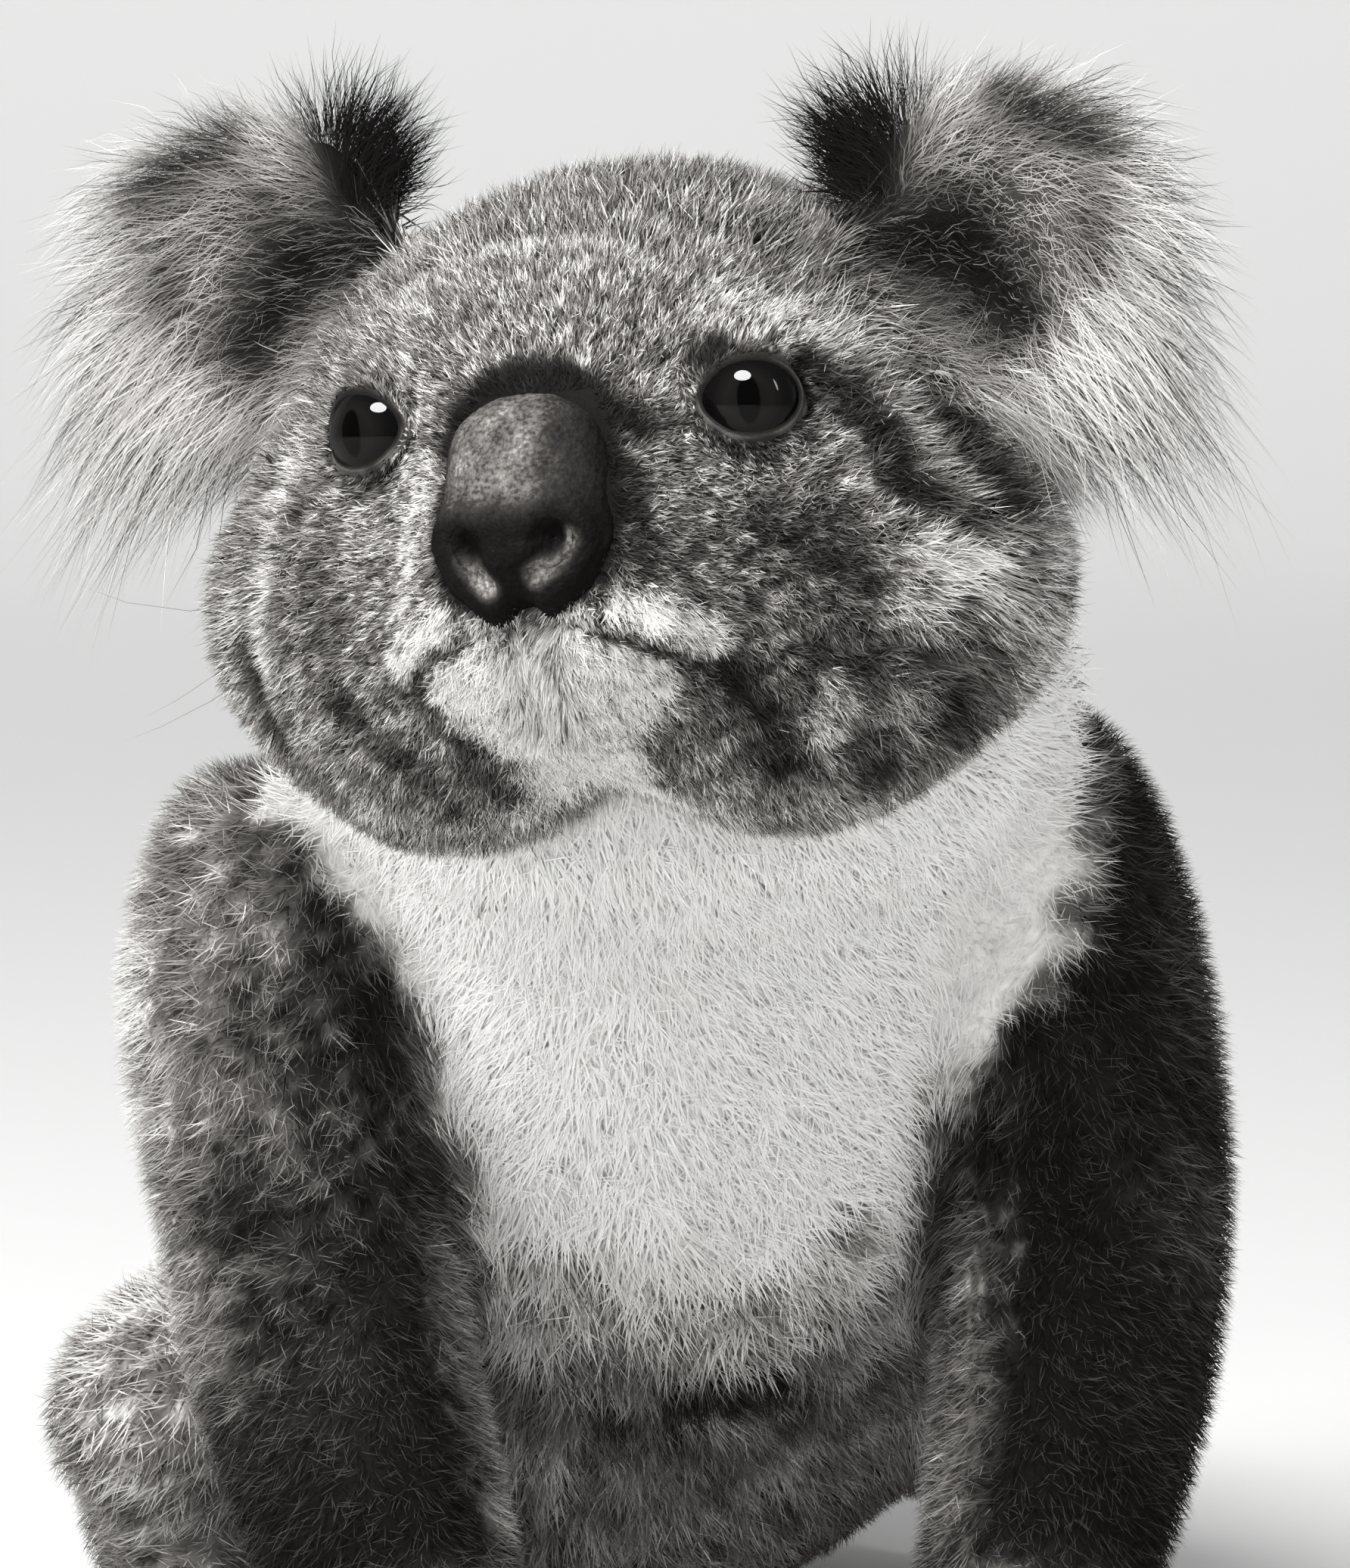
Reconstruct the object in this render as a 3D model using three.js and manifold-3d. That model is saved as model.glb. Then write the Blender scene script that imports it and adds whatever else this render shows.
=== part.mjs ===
// A life-size koala, modelled still. It sits on its rump with straight forelegs planted between
// its hind feet, and looks to its right. Millimetres, +Z up, and it faces -Y, so that its own
// left side is at +X. The floor is the plane z = 0. The solids reach out to the tips of the coat.
import * as THREE from "three";
import { mergeVertices } from "three/addons/utils/BufferGeometryUtils.js";
import Module from "manifold-3d";

const wasm = await Module();
wasm.setup();

// ---------------------------------------------------------------- driving dimensions

const GAP = 0.35; // clearance that keeps neighbouring solids apart
const LEFT = 1; // the animal's own left is +X
const RIGHT = -1;

// The head has a frame of its own, with its origin at the middle of the skull.
const HEAD_CENTRE = new THREE.Vector3(-26, -55, 270);
const HEAD_YAW = -27; // degrees, turned to its right
const HEAD_PITCH = 5; // degrees, nose up
const HEAD_ROLL = 5.5; // degrees, left ear up

const EYE = new THREE.Vector3(37.5, -37, 13); // centre of the left eye in the head's frame
const EYE_RADIUS = 10;
const EAR_LIFT = 4; // the right ear is pricked by this, and the left one dropped

const LEAN = 10; // how far the weight of the shoulders is thrown to its right
const LEAN_FROM = 115; // the lean grows between these heights
const LEAN_TO = 190;
const SHRUG = 4; // how far the left shoulder is raised and the right one dropped
const KNEE_SWAY = 7; // how far both knees fall to its right

const SHOULDER = new THREE.Vector3(70, 34, 213); // joints of the left foreleg; the right mirrors them
const UPPER_ARM = new THREE.Vector3(83, 30, 158);
const ELBOW = new THREE.Vector3(85, 24, 114);
const FOREARM = new THREE.Vector3(79, 8, 74);
const WRIST = new THREE.Vector3(68, -8, 36);
const HAND = new THREE.Vector3(63, -20, 13); // middle of the palm

const HIP = new THREE.Vector3(58, 150, 76);
const KNEE = new THREE.Vector3(99, 98, 54);
const ANKLE = new THREE.Vector3(99, 134, 20);
const SOLE = new THREE.Vector3(103, 96, 12); // middle of the hind foot

const DIGIT_RADIUS = 7;
const CLAW_LENGTH = 17;
const CLAW_RADIUS = 2.6;

// ---------------------------------------------------------------- shapes

const degrees = THREE.MathUtils.degToRad;
const point = (x, y, z) => new THREE.Vector3(x, y, z);
const onSide = (side, v, sway = 0) => point(side * v.x - sway, v.y, v.z);

// The lean of the shoulders, for a place in the trunk, neck or forelegs.
const leant = (v) => v.setX(v.x - LEAN * THREE.MathUtils.smoothstep(v.z, LEAN_FROM, LEAN_TO));

// The leant joints of a foreleg, with one shoulder higher than the other.
const shrugged = (side, v) =>
  leant(v.setZ(v.z + side * SHRUG * THREE.MathUtils.smoothstep(v.z, LEAN_FROM, LEAN_TO)));

// A rounded mass: an ellipsoid by its centre and half-sizes.
const mass = (x, y, z, rx, ry, rz) => ({ centre: point(x, y, z), radii: point(rx, ry, rz) });

// Two masses that mirror each other across the middle plane.
const pair = (x, ...rest) => [mass(x, ...rest), mass(-x, ...rest)];

// How far a place is outside a mass, close enough near its surface.
function clearance(place, { centre, radii }) {
  const local = place.clone().sub(centre);
  const scaled = local.divide(radii).length();
  const slope = local.divide(radii).length();
  return slope > 0 ? (scaled * (scaled - 1)) / slope : -Math.min(...radii.toArray());
}

// Masses run into each other softly: the smaller the blend, the sharper the crease between them.
function fleshClearance(place, masses, blend) {
  const shares = masses.map((each) => Math.exp(-clearance(place, each) / blend));
  return -blend * Math.log(shares.reduce((sum, share) => sum + share, 0));
}

// The farthest place from a start, along one way, that is still under the skin of the masses.
function skinAlong(start, way, { masses, blend, grow = 0, farthest = 300 }) {
  const halvings = 24;
  let inside = 0;
  let outside = farthest;
  for (let step = 0; step < halvings; step++) {
    const reach = (inside + outside) / 2;
    const place = start.clone().addScaledVector(way, reach);
    if (fleshClearance(place, masses, blend) < grow) inside = reach;
    else outside = reach;
  }
  return start.clone().addScaledVector(way, inside);
}

// The skin round several masses, as a sphere's vertices moved out from a middle until they meet it.
function wrapped(masses, { middle, blend, around, across, pole = point(0, 1, 0), grow = 0 }) {
  const skin = new THREE.SphereGeometry(1, around, across);
  skin.applyQuaternion(new THREE.Quaternion().setFromUnitVectors(point(0, 1, 0), pole));
  const vertices = skin.attributes.position;
  const way = point(0, 0, 0);
  for (let i = 0; i < vertices.count; i++) {
    way.fromBufferAttribute(vertices, i).normalize();
    vertices.setXYZ(i, ...skinAlong(middle, way, { masses, blend, grow }).toArray());
  }
  return skin;
}

// A limb, digit or claw: a sphere drawn out along a curve, with a radius at each point it passes.
// Its fullness is 2 for a spindle, and more for a tube with blunt ends. The limb's section is
// squared to a reference direction, which the curve never runs along.
function drawnOut(points, radii, { sides, rings, fullness = 3, flat = 1, grow = 0, reference = point(0, 0, 1) }) {
  const spine = new THREE.CatmullRomCurve3(points, false, "centripetal");
  const body = new THREE.SphereGeometry(1, sides, rings);
  const vertices = body.attributes.position;
  const onUnit = point(0, 0, 0);
  for (let i = 0; i < vertices.count; i++) {
    onUnit.fromBufferAttribute(vertices, i);
    const along = THREE.MathUtils.clamp((1 - onUnit.y) / 2, 0, 1);
    const angle = Math.atan2(onUnit.z, onUnit.x);
    const profile = (1 - Math.abs(2 * along - 1) ** fullness) ** (1 / fullness);
    const station = along * (radii.length - 1);
    const before = Math.min(Math.floor(station), radii.length - 2);
    const radius = THREE.MathUtils.lerp(radii[before], radii[before + 1], station - before) + grow;
    const heading = spine.getTangent(along);
    const level = reference.clone().cross(heading).normalize();
    const upright = heading.clone().cross(level);
    const place = spine
      .getPoint(along)
      .addScaledVector(heading, grow * (2 * along - 1))
      .addScaledVector(level, radius * profile * Math.cos(angle))
      .addScaledVector(upright, flat * radius * profile * Math.sin(angle));
    vertices.setXYZ(i, ...place.toArray());
  }
  return body;
}

// ---------------------------------------------------------------- solids

function solid(geometry) {
  const bare = geometry.clone().deleteAttribute("normal").deleteAttribute("uv");
  const merged = mergeVertices(bare, 1e-3);
  const triVerts = Uint32Array.from(merged.index.array);
  const vertProperties = merged.attributes.position.array;
  const made = new wasm.Manifold(new wasm.Mesh({ numProp: 3, vertProperties, triVerts }));
  if (made.volume() > 0) return made;
  return new wasm.Manifold(new wasm.Mesh({ numProp: 3, vertProperties, triVerts: triVerts.reverse() }));
}

// The largest piece that is left of a solid once its neighbours are cut out of it.
function carved(body, ...neighbours) {
  const rest = neighbours.reduce((left, neighbour) => left.subtract(neighbour), body);
  return rest.decompose().reduce((most, piece) => (piece.volume() > most.volume() ? piece : most));
}

const joined = (...bodies) => bodies.reduce((sum, body) => sum.add(body));

// Everything on the far side of a plane, for parting a limb across.
function beyond(place, heading, offset = 0) {
  const reach = 150;
  const block = new THREE.BoxGeometry(2 * reach, 2 * reach, 2 * reach).translate(0, 0, reach + offset);
  block.applyQuaternion(new THREE.Quaternion().setFromUnitVectors(point(0, 0, 1), heading.clone().normalize()));
  return solid(block.translate(...place.toArray()));
}

const parted = (limb, place, heading) => [
  carved(limb, beyond(place, heading, -GAP / 2)),
  carved(limb, beyond(place, heading.clone().negate(), -GAP / 2)),
];

const underFloor = beyond(point(0, 100, 0), point(0, 0, -1));

// ---------------------------------------------------------------- head, eyes and nose

const headPlace = new THREE.Matrix4().compose(
  HEAD_CENTRE,
  new THREE.Quaternion().setFromEuler(
    new THREE.Euler(degrees(-HEAD_PITCH), degrees(-HEAD_ROLL), degrees(HEAD_YAW), "ZXY"),
  ),
  point(1, 1, 1),
);
const onHead = (geometry) => solid(geometry.applyMatrix4(headPlace));

const CRANIUM = mass(0, 15, 12, 68, 66, 55);
const BROWS = pair(31, -19, 23, 25, 22, 18);
const CHEEKS = pair(51, -1, -20, 41, 42, 40);
const JOWLS = pair(34, -13, -45, 34, 33, 28);
const MUZZLE = mass(0, -42, -14, 28, 26, 25);
const LIPS = pair(18, -48, -29, 16, 17, 11);
const CHIN = mass(0, -42, -41, 19, 17, 13);
const HEAD_FLESH = {
  masses: [CRANIUM, ...BROWS, ...CHEEKS, ...JOWLS, MUZZLE, ...LIPS, CHIN],
  blend: 5,
};
const headFlesh = (grow) =>
  onHead(
    wrapped(HEAD_FLESH.masses, { middle: point(0, -6, -8), blend: HEAD_FLESH.blend, around: 28, across: 18, grow }),
  );

const eye = (side, grow) =>
  onHead(new THREE.SphereGeometry(EYE_RADIUS + grow, 10, 7).translate(...onSide(side, EYE).toArray()));

const NOSE_BRIDGE = mass(0, -57, 4, 16, 12, 13);
const NOSE_TIP = mass(0, -63, -13, 17.5, 11, 14);
const nosePad = (grow) =>
  onHead(
    wrapped([NOSE_BRIDGE, NOSE_TIP], { middle: point(0, -60, -4), blend: 3, around: 14, across: 9, grow }),
  );
const NOSTRIL = [point(5, -80, -14), point(8.5, -66, -11)];
const nostril = (side) =>
  onHead(drawnOut(NOSTRIL.map((end) => onSide(side, end)), [3.6, 2.6], { sides: 8, rings: 5 }));

// The closed mouth: a groove along the skin, from corner to corner, under the cleft of the lip.
const MOUTH_CORNER = 29;
const MOUTH_DROP = 9; // from the cleft down to each corner
const MOUTH_TOP = -27;
const mouthLine = [-1, -0.6, -0.2, 0.2, 0.6, 1].map((share) => {
  const start = point(share * MOUTH_CORNER, 0, MOUTH_TOP - MOUTH_DROP * Math.sqrt(Math.abs(share)));
  return skinAlong(start, point(0, -1, 0), { ...HEAD_FLESH, farthest: 100 });
});
const mouth = onHead(
  drawnOut(mouthLine, [1.5, 1.5, 1.5, 1.5, 1.5, 1.5], { sides: 4, rings: 8, fullness: 6 }),
);

// ---------------------------------------------------------------- ears

const EAR_MASSES = (side) => [
  mass(side * 74, 6, 50, 34, 17, 34),
  mass(side * 52, 14, 68, 20, 12, 18),
  mass(side * 104, 6, 60, 32, 13, 29),
  mass(side * 99, 4, 14, 30, 13, 26),
];
const earFlesh = (side) =>
  onHead(
    wrapped(EAR_MASSES(side), {
      middle: point(side * 82, 6, 44),
      blend: 5,
      around: 18,
      across: 11,
    }).translate(0, 0, -side * EAR_LIFT),
  );

// ---------------------------------------------------------------- trunk and neck

const leaning = (...rest) => {
  const made = mass(...rest);
  leant(made.centre);
  return made;
};
const CHEST = leaning(0, 32, 176, 73, 52, 64);
const WITHERS = leaning(0, 52, 210, 73, 55, 52);
const BELLY = leaning(0, 78, 112, 82, 74, 66);
const BACK = leaning(0, 112, 156, 82, 74, 74);
const RUMP = leaning(0, 140, 77, 92, 78, 80);
const trunkFlesh = (grow) =>
  solid(
    wrapped([CHEST, WITHERS, BELLY, BACK, RUMP], {
      middle: point(0, 92, 138),
      blend: 12,
      around: 22,
      across: 16,
      pole: point(0, 0, 1),
      grow,
    }),
  ).subtract(underFloor);

const RUFF = leaning(5, 12, 224, 91, 56, 62);
const THROAT = leaning(-2, -18, 214, 60, 38, 36);
const neckFlesh = (grow) =>
  solid(
    wrapped([RUFF, THROAT], {
      middle: point(-10, 4, 228),
      blend: 6,
      around: 18,
      across: 10,
      pole: point(0, 0, 1),
      grow,
    }),
  );

// ---------------------------------------------------------------- forelegs

const foreleg = (side, grow) =>
  solid(
    drawnOut(
      [SHOULDER, UPPER_ARM, ELBOW, FOREARM, WRIST, HAND].map((joint) => shrugged(side, onSide(side, joint))),
      [45, 40, 35, 33, 30, 24],
      { sides: 14, rings: 14, fullness: 4, grow, reference: point(0, 1, 0) },
    ),
  );

// A digit runs flat on the floor from the edge of a palm or sole, at an angle from straight ahead.
function digitSpine(side, root, { angle, length }) {
  const heading = point(side * Math.sin(degrees(angle)), -Math.cos(degrees(angle)), 0);
  const knuckle = 10; // from the root to where the digits part
  const droop = 3;
  return [0, 0.5, 1].map((share) =>
    root.clone().addScaledVector(heading, knuckle + share * (length - knuckle)).setZ(root.z - droop * share),
  );
}

const digit = (side, root, { angle, length, radius = DIGIT_RADIUS }, grow = 0) =>
  solid(
    drawnOut(digitSpine(side, root, { angle, length }), [radius + 1, radius, radius - 1], {
      sides: 6,
      rings: 4,
      grow,
    }),
  );

// A claw springs from the top of a digit's end, and arches down to the floor. Where two claws
// share a digit, each stands a little to one side of its middle.
function claw(side, root, { angle, length, aside = 0 }) {
  const [, middle, end] = digitSpine(side, root, { angle, length });
  const ahead = end.clone().sub(middle).setZ(0).normalize();
  end.addScaledVector(point(-ahead.y, ahead.x, 0), side * aside);
  const spine = [
    [-0.3 * CLAW_LENGTH, 2.5],
    [0.35 * CLAW_LENGTH, 3.2],
    [0.75 * CLAW_LENGTH, -1],
    [CLAW_LENGTH, 1.2 - end.z],
  ].map(([forward, rise]) => end.clone().addScaledVector(ahead, forward).add(point(0, 0, rise)));
  return solid(drawnOut(spine, [CLAW_RADIUS, CLAW_RADIUS, 0.7 * CLAW_RADIUS, 0.9], { sides: 5, rings: 3 }));
}

// The hand's first two digits oppose the other three.
const FINGERS = [
  { number: 1, angle: -64, length: 24 },
  { number: 2, angle: -36, length: 30 },
  { number: 3, angle: -4, length: 36 },
  { number: 4, angle: 16, length: 36 },
  { number: 5, angle: 36, length: 31 },
];
const palm = (side) =>
  solid(
    wrapped([mass(side * HAND.x, HAND.y, HAND.z, 22, 24, 14), mass(side * 67, WRIST.y, 30, 29, 28, 30)], {
      middle: onSide(side, HAND),
      blend: 3,
      around: 12,
      across: 7,
      pole: point(0, 0, 1),
    }),
  );
const fingerRoot = (side) => point(side * HAND.x, HAND.y - 4, 8.5);

// ---------------------------------------------------------------- hind legs

const thigh = (side, grow) =>
  solid(
    wrapped(
      [
        mass(side * HIP.x, HIP.y, HIP.z, 44, 52, 52),
        mass(side * KNEE.x - KNEE_SWAY, KNEE.y, KNEE.z, 36, 34, 33),
        mass(side * 82 - KNEE_SWAY / 2, 120, 60, 38, 42, 34),
      ],
      { middle: point(side * 84, 118, 60), blend: 5, around: 18, across: 10, grow },
    ),
  );

const shank = (side, grow) =>
  solid(
    drawnOut(
      [point(side * KNEE.x - KNEE_SWAY, KNEE.y + 6, KNEE.z - 16), onSide(side, ANKLE, KNEE_SWAY / 2)],
      [30, 24],
      { sides: 12, rings: 8, fullness: 3, grow, reference: point(1, 0, 0) },
    ),
  );

// The first toe has no claw and stands out like a thumb; the second and third share one sheath.
const BIG_TOE = { angle: -70, length: 28 };
const JOINED_TOES = { angle: -13, length: 45, radius: 8 };
const TOES = [
  { number: 2, ...JOINED_TOES, aside: -3.5 },
  { number: 3, ...JOINED_TOES, aside: 3.5 },
  { number: 4, angle: 10, length: 47 },
  { number: 5, angle: 33, length: 41 },
];
const soleAt = (side) => onSide(side, SOLE, KNEE_SWAY / 2);
const sole = (side) =>
  solid(
    drawnOut(
      [soleAt(side).add(point(0, 44, 1)), soleAt(side), soleAt(side).add(point(side * 2, -24, -1))],
      [19, 20, 21],
      { sides: 10, rings: 6, flat: 0.75 },
    ),
  );
const toeRoot = (side) => soleAt(side).add(point(side * 2, -12, 0)).setZ(8.5);

// ---------------------------------------------------------------- the object

const fur = (colour) => new THREE.MeshStandardMaterial({ color: colour, roughness: 0.95, metalness: 0 });
const GREY_COAT = 0x8b8882;
const DARK_COAT = 0x5c5955;
const PALE_COAT = 0xcfccc5;
const noseSkin = new THREE.MeshStandardMaterial({ color: 0x2b2928, roughness: 0.6, metalness: 0 });
const eyeBall = () => new THREE.MeshStandardMaterial({ color: 0x1d1714, roughness: 0.06, metalness: 0 });
const clawHorn = () => new THREE.MeshStandardMaterial({ color: 0x2a2725, roughness: 0.4, metalness: 0 });

const koala = new THREE.Group();
const head = new THREE.Group();
headPlace.decompose(head.position, head.quaternion, head.scale);
koala.add(head);
koala.updateMatrixWorld(true);

// Hangs a solid in a group as a mesh that turns about its own middle.
function addPart(group, name, body, material) {
  const { vertProperties, triVerts } = body.getMesh();
  const geometry = new THREE.BufferGeometry();
  geometry.setAttribute("position", new THREE.BufferAttribute(new Float32Array(vertProperties), 3));
  geometry.setIndex(new THREE.BufferAttribute(new Uint32Array(triVerts), 1));
  geometry.applyMatrix4(group.matrixWorld.clone().invert());
  geometry.computeBoundingBox();
  const middle = geometry.boundingBox.getCenter(point(0, 0, 0));
  geometry.translate(-middle.x, -middle.y, -middle.z);
  const mesh = new THREE.Mesh(geometry, material);
  mesh.name = name;
  mesh.position.copy(middle);
  group.add(mesh);
}

const grownHead = headFlesh(GAP);
const grownTrunk = trunkFlesh(GAP);
const grownNeck = neckFlesh(GAP);

addPart(
  head,
  "head",
  carved(headFlesh(0), nosePad(GAP), eye(LEFT, GAP), eye(RIGHT, GAP), mouth, grownTrunk),
  fur(GREY_COAT),
);
addPart(head, "nose", carved(nosePad(0), nostril(LEFT), nostril(RIGHT)), noseSkin);
addPart(koala, "trunk", trunkFlesh(0), fur(GREY_COAT));
addPart(koala, "neck", carved(neckFlesh(0), grownHead, grownTrunk), fur(PALE_COAT));

for (const [side, word] of [[LEFT, "left"], [RIGHT, "right"]]) {
  addPart(head, `eye_${word}`, eye(side, 0), eyeBall());
  addPart(head, `ear_${word}`, carved(earFlesh(side), grownHead, grownNeck), fur(PALE_COAT));

  const arm = carved(foreleg(side, 0), grownTrunk, grownNeck, grownHead);
  const [upperArm, lower] = parted(arm, onSide(side, ELBOW), onSide(side, FOREARM.clone().sub(UPPER_ARM)));
  const [forearm] = parted(lower, onSide(side, WRIST), onSide(side, HAND.clone().sub(FOREARM)));
  addPart(koala, `upper_arm_${word}`, upperArm, fur(DARK_COAT));
  addPart(koala, `forearm_${word}`, forearm, fur(DARK_COAT));

  const aboveWrist = beyond(onSide(side, WRIST), onSide(side, FOREARM.clone().sub(HAND)), -GAP / 2);
  const fingers = FINGERS.map((finger) => digit(side, fingerRoot(side), finger));
  addPart(
    koala,
    `hand_${word}`,
    carved(joined(palm(side), ...fingers), aboveWrist, underFloor),
    fur(DARK_COAT),
  );
  for (const finger of FINGERS)
    addPart(
      koala,
      `claw_hand_${word}_${finger.number}`,
      carved(claw(side, fingerRoot(side), finger), digit(side, fingerRoot(side), finger, GAP)),
      clawHorn(),
    );

  const grownThigh = thigh(side, GAP);
  const grownShank = shank(side, GAP);
  addPart(koala, `thigh_${word}`, carved(thigh(side, 0), grownTrunk, foreleg(side, GAP), underFloor), fur(GREY_COAT));
  addPart(koala, `shank_${word}`, carved(shank(side, 0), grownThigh, grownTrunk, underFloor), fur(GREY_COAT));
  const toes = [BIG_TOE, ...TOES.slice(1)].map((toe) => digit(side, toeRoot(side), toe));
  addPart(
    koala,
    `foot_${word}`,
    carved(joined(sole(side), ...toes), grownShank, grownThigh, grownTrunk, underFloor),
    fur(PALE_COAT),
  );
  for (const toe of TOES)
    addPart(
      koala,
      `claw_foot_${word}_${toe.number}`,
      carved(claw(side, toeRoot(side), toe), digit(side, toeRoot(side), toe, GAP)),
      clawHorn(),
    );
}

// The origin is on the floor, under the middle of the whole animal's box.
const extent = new THREE.Box3().setFromObject(koala, true);
const middle = extent.getCenter(point(0, 0, 0));
koala.position.set(-middle.x, -middle.y, -extent.min.z);

const model = new THREE.Group();
model.add(koala);

export default model;
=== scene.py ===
# %% [markdown]
# # A sitting koala, life size
# A koala is a heavy, round animal in a dense woolly coat. This lesson dresses a packed set of
# solids, one for each part of the body, with one skin, a coat of solid tufts, wet eyes, a
# leathery nose and horn claws. The first step loads the solids. They are the frame that
# everything else is measured from, and their outside is where the tips of the coat end.

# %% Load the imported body
import bpy
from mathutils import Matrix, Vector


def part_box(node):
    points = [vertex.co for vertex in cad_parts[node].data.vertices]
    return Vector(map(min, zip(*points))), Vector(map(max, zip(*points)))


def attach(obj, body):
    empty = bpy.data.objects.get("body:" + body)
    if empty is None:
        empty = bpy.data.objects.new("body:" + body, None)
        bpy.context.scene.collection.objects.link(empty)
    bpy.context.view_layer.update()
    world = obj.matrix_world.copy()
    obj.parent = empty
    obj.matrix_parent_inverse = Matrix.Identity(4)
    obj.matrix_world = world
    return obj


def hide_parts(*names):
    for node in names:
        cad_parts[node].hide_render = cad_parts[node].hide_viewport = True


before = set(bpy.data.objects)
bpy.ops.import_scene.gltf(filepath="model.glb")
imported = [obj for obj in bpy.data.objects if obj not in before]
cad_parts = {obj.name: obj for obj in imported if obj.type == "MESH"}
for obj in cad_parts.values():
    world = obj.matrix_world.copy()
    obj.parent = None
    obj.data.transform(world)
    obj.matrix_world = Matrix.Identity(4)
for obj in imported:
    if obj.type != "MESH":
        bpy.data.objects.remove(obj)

bpy.context.view_layer.update()

# %% [markdown]
# ## Working tools
# The body is worked out in metres. Sizes on the head are easier to think of in millimetres, so
# they are turned into metres where they are used. One seeded source of chance scatters the
# tufts, so that each run grows the same coat. Soft edges come from two curves: a ramp, for where
# one thing gives way to another, and a bell, for a line or a spot.

# %% Imports, the one source of chance, and soft edges
import heapq
import math

import bmesh
import numpy as np
from mathutils import Matrix, Vector
from mathutils.bvhtree import BVHTree
from mathutils.kdtree import KDTree

chance = np.random.default_rng(11)
scene = bpy.context.scene
MM = 0.001


def ramp(value, start, end):
    """0 before start, 1 after end, and a smooth rise between them."""
    share = np.clip((np.asarray(value, float) - start) / (end - start), 0, 1)
    return share * share * (3 - 2 * share)


def bell(distance, width):
    """1 at no distance, and a smooth fall to 0 on both sides."""
    return np.exp(-((distance / width) ** 2))


def length_of(vectors):
    return np.linalg.norm(vectors, axis=1)


def unit(vectors):
    size = np.linalg.norm(vectors, axis=-1, keepdims=True)
    return vectors / np.maximum(size, 1e-12)


def show(obj):
    scene.collection.objects.link(obj)
    return obj


# %% [markdown]
# ## Camera
# A long lens stands off in front of the animal and a little above it, as for a portrait.

# %% Portrait camera
camera_data = bpy.data.cameras.new("portrait_camera")
camera_data.sensor_width = 36
camera_data.lens = 143.86
camera = show(bpy.data.objects.new("portrait_camera", camera_data))
camera.location = (-0.195514, -1.336053, 0.342208)
swing, rise = math.radians(-8.5), math.radians(6)
backward = Vector((math.sin(swing) * math.cos(rise), -math.cos(swing) * math.cos(rise), math.sin(rise)))
camera.rotation_mode = "QUATERNION"
camera.rotation_quaternion = backward.to_track_quat("Z", "Y")
scene.camera = camera
print("camera", [round(v, 3) for v in camera.location])

# %% [markdown]
# ## The head's own axes
# The head is turned to the animal's right, dipped and tipped. Places on the face are given in
# the head's own axes, in millimetres: x to its left, y backward and z up. The eyes of the packed
# body fix where these axes start.

# %% Axes of the head


def spun(axis, degrees):
    return np.array(Matrix.Rotation(math.radians(degrees), 3, axis))


def middle_of(node):
    low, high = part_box(node)
    return (np.array(low) + np.array(high)) / 2


HEAD_TURN = spun("Z", -27) @ spun("X", -5) @ spun("Y", -5.5)
EYE = np.array([37.5, -37.0, 13.0])  # middle of the left eye; the right eye mirrors it
SIDES = {"left": 1, "right": -1}
eye_middle = {side: middle_of("eye_" + side) for side in SIDES}
between_eyes = (eye_middle["left"] + eye_middle["right"]) / 2
head_middle = between_eyes - HEAD_TURN @ (EYE * (0, 1, 1) * MM)


def to_head(points):
    return (np.asarray(points) - head_middle) @ HEAD_TURN / MM


def from_head(places):
    return head_middle + (np.asarray(places, float) * MM) @ HEAD_TURN.T


print("head middle", head_middle.round(4), "eye", to_head(eye_middle["left"]).round(2))

# %% [markdown]
# ## The bare body
# Under a koala's wool is one unbroken skin. It starts as a copy of all the flesh solids, whose
# hairline gaps are closed by a voxel remesh. The ears' solids reach to the tips of their long
# fringes, so here each gets a thin, dished flap of gristle instead.

# %% Join the flesh into one shell


def joined(nodes):
    """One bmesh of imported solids, with their loose triangles merged."""
    form = bmesh.new()
    for name in nodes:
        form.from_mesh(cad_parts[name].data)
    bmesh.ops.remove_doubles(form, verts=form.verts, dist=1e-6)
    return form


flesh = [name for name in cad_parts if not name.startswith(("claw", "ear"))]
form = joined(flesh)
print("flesh solids", len(flesh))

# %% Add a flap for each ear
EAR_FLAP = np.array([73.0, 7.0, 44.0])  # middle of the left flap, in head millimetres
EAR_SIZE = np.array([31.0, 7.5, 32.0])  # half its width, thickness and height
EAR_LIFT = {"left": -4.0, "right": 4.0}  # the left ear is held lower than the right
EAR_DISH = 7  # how deep the hollow is, and how far the edge bows forward


def mesh_of(form, name):
    """Turns a bmesh into a named mesh, and frees the bmesh."""
    mesh = bpy.data.meshes.new(name)
    form.to_mesh(mesh)
    form.free()
    return mesh


for side, sign in SIDES.items():
    ear_middle = EAR_FLAP * (sign, 1, 1) + (0, 0, EAR_LIFT[side])
    flap = bmesh.ops.create_uvsphere(form, u_segments=32, v_segments=20, radius=1)["verts"]
    for vert in flap:
        place = np.array(vert.co) * EAR_SIZE
        hollow = EAR_DISH * max(0.0, 1 - vert.co.x**2 - vert.co.z**2) if vert.co.y < 0 else 0
        bow = EAR_DISH * (vert.co.x**2 + vert.co.z**2)
        place[1] += hollow - bow
        vert.co = from_head(ear_middle + place)
shell_mesh = mesh_of(form, "bare_shell")
print("shell faces", len(shell_mesh.polygons))

# %% Close the gaps with voxels, and keep the outer shell
VOXEL = 2.9 * MM


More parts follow.
